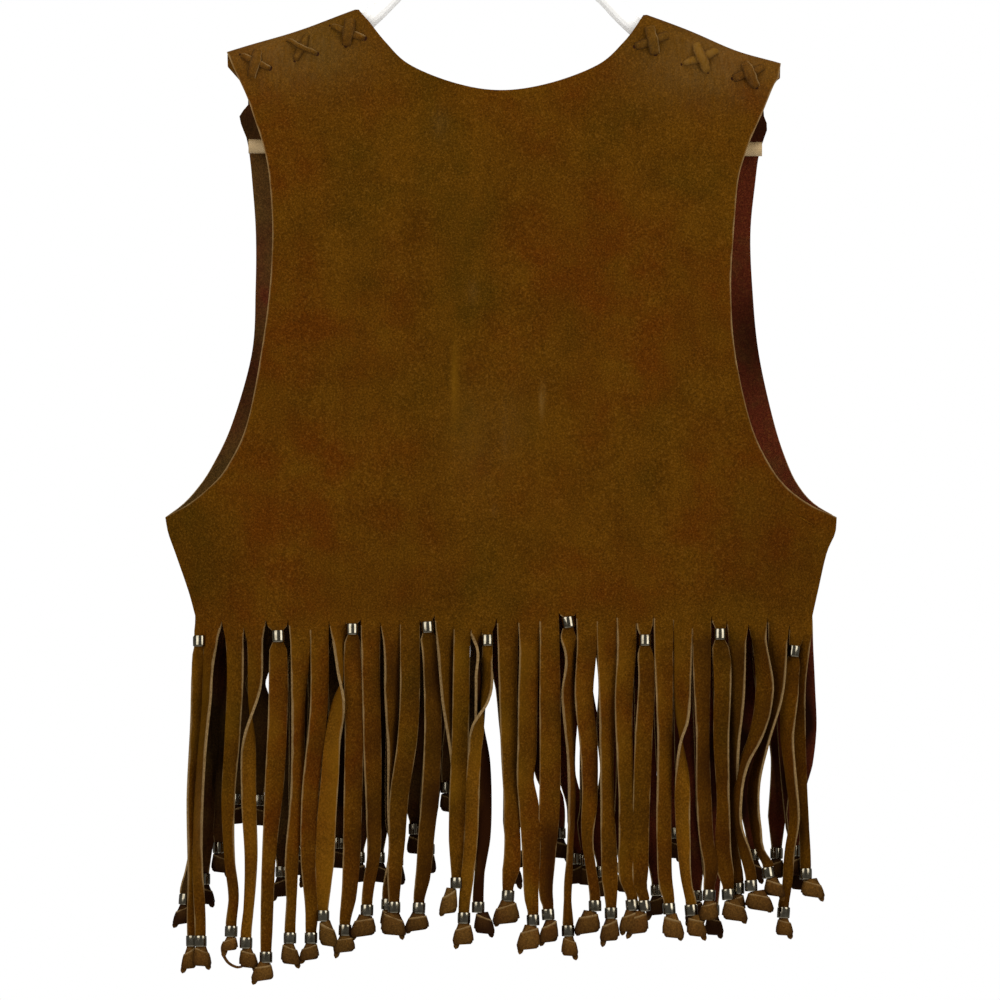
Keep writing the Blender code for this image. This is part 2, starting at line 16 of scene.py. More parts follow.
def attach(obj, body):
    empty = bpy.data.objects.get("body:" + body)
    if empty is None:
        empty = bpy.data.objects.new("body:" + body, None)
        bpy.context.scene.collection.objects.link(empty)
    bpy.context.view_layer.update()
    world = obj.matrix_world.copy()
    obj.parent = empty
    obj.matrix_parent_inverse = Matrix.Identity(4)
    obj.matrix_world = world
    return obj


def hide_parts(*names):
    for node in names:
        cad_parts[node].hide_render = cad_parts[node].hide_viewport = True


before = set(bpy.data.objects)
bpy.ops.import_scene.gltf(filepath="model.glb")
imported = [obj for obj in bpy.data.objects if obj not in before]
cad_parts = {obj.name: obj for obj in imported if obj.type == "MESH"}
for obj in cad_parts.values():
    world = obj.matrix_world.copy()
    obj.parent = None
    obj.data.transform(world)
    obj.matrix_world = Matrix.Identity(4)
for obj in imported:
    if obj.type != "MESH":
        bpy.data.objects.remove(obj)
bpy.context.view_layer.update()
MM = 0.001

# %% [markdown]
# ## Camera, light and floor
# The photo looks straight at the vest's back from some way off, so a long lens far away keeps its
# outline flat. Two softboxes stand left and right of the camera: each one leaves a bright bar on a
# round steel bead, and the dim world between them leaves the bead's sides dark. Three more, above and
# behind, light the other views. Only the camera sees the world as white, like the photo's background.

# %% Camera
VIEW_WIDTH = 700 * MM
VIEW_MIDDLE = Vector((-0.7 * MM, -20 * MM, -446 * MM))
CAMERA_DISTANCE = 12.0
SENSOR_WIDTH = 36.0
scene = bpy.context.scene
camera_data = bpy.data.cameras.new("camera")
camera_data.sensor_width = SENSOR_WIDTH
camera_data.lens = SENSOR_WIDTH * CAMERA_DISTANCE / VIEW_WIDTH
camera = bpy.data.objects.new("camera", camera_data)
camera.location = VIEW_MIDDLE - Vector((0, CAMERA_DISTANCE, 0))
camera.rotation_euler = (math.pi / 2, 0, 0)
scene.collection.objects.link(camera)
scene.camera = camera
scene.view_settings.view_transform = "Standard"
print("camera lens:", round(camera_data.lens), "mm")

# %% Softboxes
Softbox = namedtuple("Softbox", "name azimuth elevation distance width height power")
SOFTBOXES = (
    Softbox("left_front", -42, 14, 1.55, 1.2, 1.28, 14.8),
    Softbox("right_front", 54, 14, 1.55, 1.0, 1.28, 15.2),
    Softbox("above", 0, 72, 2.6, 1.6, 1.0, 40),
    Softbox("left_behind", -145, 20, 3.0, 1.4, 1.8, 44),
    Softbox("right_behind", 150, 20, 3.0, 1.4, 1.8, 44),
)


def add_softbox(row):
    """A square of light that faces the vest's middle."""
    azimuth = math.radians(row.azimuth)
    elevation = math.radians(row.elevation)
    away = Vector((math.sin(azimuth) * math.cos(elevation), -math.cos(azimuth) * math.cos(elevation),
                   math.sin(elevation)))
    light = bpy.data.lights.new(row.name, "AREA")
    light.shape = "RECTANGLE"
    light.size = row.width
    light.size_y = row.height
    light.energy = row.power
    item = bpy.data.objects.new(row.name, light)
    item.location = VIEW_MIDDLE + away * row.distance
    item.rotation_euler = away.to_track_quat("Z", "Y").to_euler()
    item.visible_camera = False
    scene.collection.objects.link(item)


for softbox in SOFTBOXES:
    add_softbox(softbox)
print("softboxes:", len(SOFTBOXES))

# %% Node helpers


def add_node(tree, kind, **settings):
    node = tree.nodes.new(kind)
    for name, value in settings.items():
        setattr(node, name, value)
    return node


def feed(tree, socket, value):
    """Links another node's output to a socket, or sets the socket to a plain value."""
    if isinstance(value, bpy.types.NodeSocket):
        tree.links.new(value, socket)
    else:
        socket.default_value = value


def mix_colour(tree, factor, one, two, blend="MIX"):
    node = add_node(tree, "ShaderNodeMix", data_type="RGBA", blend_type=blend)
    feed(tree, node.inputs[0], factor)
    feed(tree, node.inputs[6], one)
    feed(tree, node.inputs[7], two)
    return node.outputs[2]


def remap(tree, value, low, high, to_low=0.0, to_high=1.0):
    node = add_node(tree, "ShaderNodeMapRange")
    for socket, number in zip(node.inputs, (value, low, high, to_low, to_high)):
        feed(tree, socket, number)
    return node.outputs[0]


def calculate(tree, operation, one, two):
    node = add_node(tree, "ShaderNodeMath", operation=operation)
    feed(tree, node.inputs[0], one)
    feed(tree, node.inputs[1], two)
    return node.outputs[0]


print("node helpers ready")

# %% Noise, places and materials


def noise(tree, place, scale, detail=3.0, roughness=0.5):
    node = add_node(tree, "ShaderNodeTexNoise")
    feed(tree, node.inputs["Vector"], place)
    node.inputs["Scale"].default_value = scale
    node.inputs["Detail"].default_value = detail
    node.inputs["Roughness"].default_value = roughness
    return node.outputs[0]


def object_place(tree, stretch=(1.0, 1.0, 1.0)):
    """Object coordinates, squeezed or stretched along the axes."""
    place = add_node(tree, "ShaderNodeTexCoord").outputs["Object"]
    mapping = add_node(tree, "ShaderNodeMapping")
    feed(tree, mapping.inputs["Vector"], place)
    mapping.inputs["Scale"].default_value = stretch
    return mapping.outputs["Vector"]


def new_material(name):
    """A material, its node tree and its shader."""
    material = bpy.data.materials.new(name)
    material.use_nodes = True
    return material, material.node_tree, material.node_tree.nodes["Principled BSDF"]


print("texture helpers ready")

# %% World and floor
WORLD_LIGHT = 0.18
FLOOR_LEVEL = -1.65
FLOOR_HALF = 3.0
FLOOR_TONES = (0.78, 0.84)
FLOOR_CLOUDS = 3.0
FLOOR_ROUGHNESS = 0.9
world = bpy.data.worlds.new("studio")
world.use_nodes = True
scene.world = world
sky = world.node_tree
sky.nodes.clear()
dim = add_node(sky, "ShaderNodeBackground")
dim.inputs["Color"].default_value = (WORLD_LIGHT, WORLD_LIGHT, WORLD_LIGHT, 1)
white = add_node(sky, "ShaderNodeBackground")
white.inputs["Color"].default_value = (1, 1, 1, 1)
choose = add_node(sky, "ShaderNodeMixShader")
feed(sky, choose.inputs[0], add_node(sky, "ShaderNodeLightPath").outputs["Is Camera Ray"])
feed(sky, choose.inputs[1], dim.outputs[0])
feed(sky, choose.inputs[2], white.outputs[0])
feed(sky, add_node(sky, "ShaderNodeOutputWorld").inputs["Surface"], choose.outputs[0])

bpy.ops.object.select_all(action="DESELECT")
bpy.ops.mesh.primitive_plane_add(size=2 * FLOOR_HALF, location=(0, 0, FLOOR_LEVEL))
floor = bpy.context.object
floor.name = "floor"
paint, floor_tree, floor_shader = new_material("pale_floor")
clouds = noise(floor_tree, object_place(floor_tree), FLOOR_CLOUDS)
feed(floor_tree, floor_shader.inputs["Base Color"], remap(floor_tree, clouds, 0.3, 0.7, *FLOOR_TONES))
floor_shader.inputs["Roughness"].default_value = FLOOR_ROUGHNESS
floor.data.materials.append(paint)
print("floor at", FLOOR_LEVEL, "m")

# %% [markdown]
# ## Suede
# Suede has a short nap: no gloss, a fine grain, and a mottle of ochre, red brown and olive where the
# nap lies in different ways. Noise at several sizes gives patches, blotches, long streaks and fine
# grain. A picture of suede could be wrapped on instead, but noise in object space needs no unwrapping
# and runs on from a panel into its strands. The back, fronts, strands, thongs and knots all share it,
# so it is one shader node group with its own colours in each.

# %% Nap group
# A layer of grain has its noise's stretch, scale, detail and roughness, how far from the middle the
# noise counts, and how far it dims and brightens the colour
Layer = namedtuple("Layer", "name stretch scale detail roughness spread reach")
LAYERS = (
    Layer("grain", (1, 1, 1), 1000, 3, 0.75, 0.25, 0.48),
    Layer("strokes", (420, 420, 160), 1, 3, 0.5, 0.2, 0.08),
    Layer("streaks", (120, 120, 14), 1, 3, 0.5, 0.2, 0.05),
    Layer("specks", (1, 1, 1), 760, 2, 0.6, 0.2, 0.28),
)
PATCH_SCALE = 14.0
BLOTCH_SCALE = 38.0
FLECK_SHARE = 0.4


def new_group(name, inputs, outputs):
    tree = bpy.data.node_groups.new(name, "ShaderNodeTree")
    for label, kind in inputs:
        tree.interface.new_socket(label, in_out="INPUT", socket_type=kind)
    for label, kind in outputs:
        tree.interface.new_socket(label, in_out="OUTPUT", socket_type=kind)
    return tree, add_node(tree, "NodeGroupInput").outputs, add_node(tree, "NodeGroupOutput").inputs


def make_nap_group():
    inputs = [(name, "NodeSocketColor") for name in ("Ochre", "Red brown", "Olive", "Fleck")]
    tree, given, made = new_group("suede_nap", inputs + [("Warmth", "NodeSocketFloat")],
                                  [("Color", "NodeSocketColor"), ("Height", "NodeSocketFloat")])
    place = object_place(tree)
    patches = remap(tree, noise(tree, place, PATCH_SCALE, 4.0), 0.34, 0.66)
    patches = calculate(tree, "SUBTRACT", patches, given["Warmth"])
    blotches = remap(tree, noise(tree, place, BLOTCH_SCALE, 5.0, 0.55), 0.36, 0.68)
    redder = remap(tree, given["Warmth"], 0.6, 1.2, 0.0, 0.8)
    blotches = calculate(tree, "SUBTRACT", blotches, redder)
    colour = mix_colour(tree, patches, given["Red brown"], given["Olive"])
    colour = mix_colour(tree, blotches, colour, given["Ochre"])
    layers = {}
    for row in LAYERS:
        layer = noise(tree, object_place(tree, row.stretch), row.scale, row.detail, row.roughness)
        shade = remap(tree, layer, 0.5 - row.spread, 0.5 + row.spread, 1 - row.reach, 1 + row.reach)
        colour = mix_colour(tree, 1.0, colour, shade, "MULTIPLY")
        layers[row.name] = layer
    flecks = remap(tree, layers["specks"], 0.56, 0.74, 0.0, FLECK_SHARE)
    tree.links.new(mix_colour(tree, flecks, colour, given["Fleck"]), made["Color"])
    tree.links.new(calculate(tree, "ADD", layers["grain"], layers["strokes"]), made["Height"])
    return tree


nap_group = make_nap_group()
print("nap group nodes:", len(nap_group.nodes))

# %% Colours of the suedes
# reads is the start of the names of the attributes that a finish reads, so that a front's two
# faces can differ
Suede = namedtuple("Suede", "name reads ochre red_brown olive gold dark")
OUTSIDE = ((0.080, 0.0300, 0.0014), (0.073, 0.0198, 0.0010), (0.056, 0.0236, 0.0011),
           (0.150, 0.065, 0.0030), (0.016, 0.0045, 0.0010))
SUEDES = (
    Suede("suede_outside", "", *OUTSIDE),
    Suede("suede_front_outside", "outer_", *OUTSIDE),
    Suede("suede_inside", "", (0.110, 0.043, 0.0025), (0.094, 0.031, 0.0018), (0.080, 0.034, 0.0018),
          (0.155, 0.064, 0.0030), (0.030, 0.013, 0.0014)),
    # The fronts' inside has a darker dark than the others, for the painted shade on it
    Suede("suede_front_inside", "", (0.098, 0.048, 0.0115), (0.108, 0.020, 0.0075),
          (0.070, 0.038, 0.0100), (0.140, 0.070, 0.0160), (0.009, 0.0028, 0.0014)),
    Suede("suede_knot", "", (0.104, 0.0475, 0.0092), (0.091, 0.0335, 0.0066), (0.076, 0.0395, 0.0077),
          (0.156, 0.083, 0.0195), (0.019, 0.007, 0.0024)),
)
print("suedes:", len(SUEDES))

# %% Suede materials
FLECK_COLOUR = (0.150, 0.068, 0.010, 1)
EDGE_PALE = (0.28, 0.18, 0.078, 1)
EDGE_DARK = (0.135, 0.078, 0.026, 1)
SCUFF_COLOUR = (0.21, 0.125, 0.042, 1)
SCUFF_STRETCH = (500.0, 500.0, 130.0)
FIBRE_SCALE = 620.0
EDGE_FRAY = 0.45
EDGE_WANDER = 75.0


def attribute(tree, name):
    return add_node(tree, "ShaderNodeAttribute", attribute_name=name).outputs["Fac"]


def make_matte(shader):
    """Suede has no gloss."""
    shader.inputs["Roughness"].default_value = 1.0
    shader.inputs["Specular IOR Level"].default_value = 0.01


def raise_grain(tree, shader, height, strength, depth):
    """A fine bump on the surface, its depth in millimetres."""
    bump = add_node(tree, "ShaderNodeBump")
    bump.inputs["Strength"].default_value = strength
    bump.inputs["Distance"].default_value = depth * MM
    feed(tree, bump.inputs["Height"], height)
    feed(tree, shader.inputs["Normal"], bump.outputs["Normal"])


def fibre_colour(tree, fibres):
    """The colours of the raw cut hide."""
    return mix_colour(tree, remap(tree, fibres, 0.35, 0.65), EDGE_DARK, EDGE_PALE)


def make_suede(row):
    material, tree, shader = new_material(row.name)
    nap = add_node(tree, "ShaderNodeGroup", node_tree=nap_group)
    nap.inputs["Ochre"].default_value = (*row.ochre, 1)
    nap.inputs["Red brown"].default_value = (*row.red_brown, 1)
    nap.inputs["Olive"].default_value = (*row.olive, 1)
    nap.inputs["Fleck"].default_value = FLECK_COLOUR
    feed(tree, nap.inputs["Warmth"], attribute(tree, row.reads + "warmth"))
    # Tone above 0 mixes towards gold and below 0 towards dark: the hide's own lighter and darker places,
    # and also painted light and shade
    tone = attribute(tree, row.reads + "tone")
    colour = mix_colour(tree, remap(tree, tone, 0.0, 1.0), nap.outputs["Color"], (*row.gold, 1))
    colour = mix_colour(tree, remap(tree, tone, 0.0, -1.0), colour, (*row.dark, 1))
    rubbed = noise(tree, object_place(tree, SCUFF_STRETCH), 1.0, 4.0, 0.7)
    rubbed = remap(tree, rubbed, 0.3, 0.7, 0.2, 0.9)
    rubbed = calculate(tree, "MULTIPLY", attribute(tree, "scuff"), rubbed)
    colour = mix_colour(tree, rubbed, colour, SCUFF_COLOUR)
    fibres = noise(tree, object_place(tree), FIBRE_SCALE, 4.0, 0.75)
    frayed = remap(tree, fibres, 0.2, 0.8, -EDGE_FRAY, EDGE_FRAY)
    frayed = calculate(tree, "ADD", attribute(tree, row.reads + "edge"), frayed)
    wander = remap(tree, noise(tree, object_place(tree), EDGE_WANDER, 2.0), 0.35, 0.65, -0.1, 0.55)
    frayed = remap(tree, calculate(tree, "ADD", frayed, wander), 0.35, 1.35, 0.9, 0.0)
    colour = mix_colour(tree, frayed, colour, fibre_colour(tree, fibres))
    feed(tree, shader.inputs["Base Color"], colour)
    make_matte(shader)
    raise_grain(tree, shader, nap.outputs["Height"], 0.35, 0.6)
    return material


suedes = {row.name: make_suede(row) for row in SUEDES}
print("suede materials:", sorted(suedes))

# %% Cut edge
CUT_FIBRE_SCALE = 700.0


def make_cut_edge():
    """The raw edge of the hide, paler than its nap and full of short fibres."""
    material, tree, shader = new_material("cut_edge")
    fibres = noise(tree, object_place(tree), CUT_FIBRE_SCALE, 4.0, 0.7)
    feed(tree, shader.inputs["Base Color"], fibre_colour(tree, fibres))
    make_matte(shader)
    raise_grain(tree, shader, fibres, 0.4, 0.4)
    return material


cut_edge = make_cut_edge()
print("cut edge ready")

# %% [markdown]
# ## The body's form
# The panels lie on the same form as the CAD solids: flat cuts, bent round the hanger's arm at the
# shoulder and drawn together at the side seams. The solids' own faces could be used, but they are too
# large for soft folds and round edges. The formulas below repeat that form for arrays of points, so
# the shells can be far finer than the solids and still sit where the solids are.

# %% Sizes and outlines
LEATHER = 1.8 * MM
GAP = 0.3 * MM
NECK_LEVEL = -103 * MM
HEM = -424 * MM
UNDERARM = -355 * MM
BODY_DEPTH = 20 * MM
SIDE_ROUND = 62 * MM
SIDE_PULL = 160 * MM
HANG_LENGTH = 150 * MM
ARM_HALF = 6.5 * MM
CREST = 9.4 * MM
TAB_RADIUS = ARM_HALF + GAP + LEATHER / 2
BACK_RADIUS = TAB_RADIUS + LEATHER + GAP
SEAM_Y = (LEATHER + GAP) / 2

Armhole = namedtuple("Armhole", "level back_left back_right front_left front_right")
ARMHOLE = (
    Armhole(-355, 235, 235, 235, 235),
    Armhole(-346, 219, 216, 223, 220),
    Armhole(-335, 205, 201, 213, 210),
    Armhole(-320, 192, 189, 203, 202),
    Armhole(-290, 178, 175, 189, 192),
    Armhole(-240, 168, 164, 175, 181),
    Armhole(-195, 162, 161, 172.4, 176.6),
    Armhole(-155, 160, 163, 172.2, 175.2),
    Armhole(-120, 162, 166, 174.6, 178.5),
    Armhole(-101, 165, 171, 176.5, 181),
    Armhole(-89, 168.3, 175.5, 178.6, 184.7),
    Armhole(-81, 171, 179, 181.8, 187),
    Armhole(-73, 173.7, 182.7, 183.4, 184.4),
    Armhole(-66, 176, 185.6, 177.6, 184.6),
    Armhole(-60, 178.2, 188, 177.6, 187),
    Armhole(-52, 181.8, 191.4, 180.8, 190.2),
)
Side = namedtuple("Side", "level left right")
SIDE = (
    Side(-424, 214, 218),
    Side(-406, 219, 222),
    Side(-380, 228, 228),
    Side(-366, 233, 234),
    Side(-355, 235, 235),
)
# A shoulder also has its lean: how much further out its tip is than the edge below the fold
Shoulder = namedtuple("Shoulder", "neck_x neck_level tip_x tip_level lean")
SHOULDER_LEFT = Shoulder(102, 0, 192, -30, 4.2)
SHOULDER_RIGHT = Shoulder(102, -4, 196, -37.4, 1.6)
Sag = namedtuple("Sag", "x half_width depth")
SHOULDER_SAGS = (Sag(-142, 36, 1.9), Sag(165, 30, 2.9))
MOUND_FALL = 1.4
Neck = namedtuple("Neck", "x level")
NECKLINE = (
    Neck(-102, 0), Neck(-94, -6), Neck(-81, -22), Neck(-64, -38), Neck(-32, -51), Neck(0, -56),
    Neck(34, -51), Neck(68, -38), Neck(86, -22), Neck(97, -8), Neck(102, -4),
)
print("hem at", HEM, "m below the neck point")

# %% Lines and patches


def smooth_read(places, values, where):
    """A smooth curve through a table's rows, read at many places."""
    places = np.asarray(places, float)
    values = np.asarray(values, float)
    slopes = np.gradient(values, places)
    where = np.clip(where, places[0], places[-1])
    row = np.clip(np.searchsorted(places, where, side="right") - 1, 0, len(places) - 2)
    gap = places[row + 1] - places[row]
    t = (where - places[row]) / gap
    start = (2 * t ** 3 - 3 * t ** 2 + 1) * values[row] + (t ** 3 - 2 * t ** 2 + t) * gap * slopes[row]
    end = (3 * t ** 2 - 2 * t ** 3) * values[row + 1] + (t ** 3 - t ** 2) * gap * slopes[row + 1]
    return start + end


def smooth_curve(points, steps_each=12):
    points = np.asarray(points, float)
    rows = np.arange(len(points))
    fine = np.linspace(0, rows[-1], steps_each * rows[-1] + 1)
    return np.column_stack([smooth_read(rows, points[:, axis], fine) for axis in (0, 1)])


def spaced(points, count):
    """count + 1 points at even distances along a line of points."""
    points = np.asarray(points, float)
    lengths = np.concatenate([[0], np.cumsum(np.linalg.norm(np.diff(points, axis=0), axis=1))])
    stops = np.linspace(0, lengths[-1], count + 1)
    return np.column_stack([np.interp(stops, lengths, points[:, axis]) for axis in (0, 1)])


def fill_patch(bottom, top, left, right):
    """Rows of points inside four edge lines, each inner line blended from its neighbours."""
    v = np.linspace(0, 1, len(left))[:, None, None]
    u = np.linspace(0, 1, len(bottom))[None, :, None]
    across = left[:, None] * (1 - u) + right[:, None] * u
    upward = bottom[None] * (1 - v) + top[None] * v
    low = bottom[0] * (1 - u) + bottom[-1] * u
    high = top[0] * (1 - u) + top[-1] * u
    return across + upward - (low * (1 - v) + high * v)


def soft_step(value):
    value = np.clip(value, 0.0, 1.0)
    return value * value * (3 - 2 * value)


print("line helpers ready")

# %% The form


def shoulder_line(x):
    """Height of the shoulder crease with its sag, and of its straight run on towards the neck."""
    heights = []
    for side in (SHOULDER_LEFT, SHOULDER_RIGHT):
        slope = (side.tip_level - side.neck_level) / (side.tip_x - side.neck_x)
        heights.append(side.neck_level * MM + slope * (np.abs(x) - side.neck_x * MM))
    line = np.where(x < 0, heights[0], heights[1])
    for sag in SHOULDER_SAGS:
        line = line - sag.depth * MM * np.exp(-MOUND_FALL * ((x / MM - sag.x) / sag.half_width) ** 2)
    return line


def hang_depth(x, height, shoulder_depth):
    """How far a panel hangs from the middle plane: close at the shoulder and at the side seams."""
    below = soft_step((shoulder_line(x) - CREST - height) / HANG_LENGTH)
    depth = shoulder_depth + (BODY_DEPTH - shoulder_depth) * below
    levels = [row.level * MM for row in SIDE]
    left = np.interp(height, levels, [row.left * MM for row in SIDE])
    right = np.interp(height, levels, [row.right * MM for row in SIDE])
    inside = np.clip((np.where(x < 0, left, right) - np.abs(x)) / SIDE_ROUND, 0, 1)
    pull = 1 - soft_step((height - UNDERARM) / SIDE_PULL)
    closing = pull * (1 - np.sin(inside * np.pi / 2))
    return depth - (depth - SEAM_Y) * closing


def place_back(x, height):
    """The back's flat cut laid on the body and curled over the shoulder."""
    axis = shoulder_line(x) - CREST
    over = (height - axis) / BACK_RADIUS
    y = np.where(over > 0, -BACK_RADIUS * np.cos(over), -hang_depth(x, height, BACK_RADIUS))
    z = np.where(over > 0, axis + BACK_RADIUS * np.sin(over), height)
    return np.stack([x, y, NECK_LEVEL + z], axis=-1)


def place_front(x, height):
    """A front's flat cut: down the front, over the arm, and its tab down under the back."""
    axis = shoulder_line(x) - CREST
    over = (height - axis) / TAB_RADIUS
    y = np.where(over > 0, TAB_RADIUS * np.cos(over), hang_depth(x, height, TAB_RADIUS))
    y = np.where(over > np.pi, -TAB_RADIUS, y)
    z = np.where(over > 0, axis + TAB_RADIUS * np.sin(over), height)
    z = np.where(over > np.pi, axis - TAB_RADIUS * (over - np.pi), z)
    return np.stack([x, y, NECK_LEVEL + z], axis=-1)


halfway = float(shoulder_line(np.array(150 * MM))) / MM
print("shoulder at x = 150 mm is", round(halfway, 1), "mm from neck level")

# %% [markdown]
# ## Strands
# Each strand is a tongue of the same hide, cut free below its slit, so it grows out of the panel's
# own bottom row of points. A cloth simulation could let them fall, but not to the places they have in
# the photo. A short table gives each one's course as it hangs there: its middle, the width that
# shows, and how far it has turned. A turned strand shows its cut edge as a pale line, and one that
# has turned right over shows its golden reverse.

# %% Slits in the back's hem
Slit = namedtuple("Slit", "x drop")
BACK_SLITS = (
    Slit(-214, 0), Slit(-206.5, 11), Slit(-195.3, 4), Slit(-180, 8), Slit(-164.5, 3), Slit(-149, 2.5),
    Slit(-133.7, 6), Slit(-120.4, 3), Slit(-109.2, 4), Slit(-98, 2.5), Slit(-84.7, 3), Slit(-70.7, 2),
    Slit(-57, 2.5), Slit(-46.5, -1), Slit(-33, 5), Slit(-21, 8.5), Slit(-13.3, 9), Slit(-2.8, 1),
    Slit(12, 1), Slit(27, 0), Slit(40.3, -2.5), Slit(52.5, -2.5), Slit(67, 0), Slit(81, -3),
    Slit(94.5, 1.5), Slit(107, -2.5), Slit(120.4, -2), Slit(133.7, 5), Slit(147, -1), Slit(158, 1.5),
    Slit(173, 5), Slit(186, 0), Slit(202, 5), Slit(212, 13), Slit(218, 0),
)
print("back strands:", len(BACK_SLITS) - 1)

# %% Courses of the back strands
# A course has a row for each height: drop below the hem, middle, width that shows, turn in degrees
# (plus brings the right edge nearer) and how far it stands forward; lengths in millimetres
Station = namedtuple("Station", "drop middle width turn forward", defaults=(0, 0))
Knot = namedtuple("Knot", "shift width height lean loop", defaults=((),))
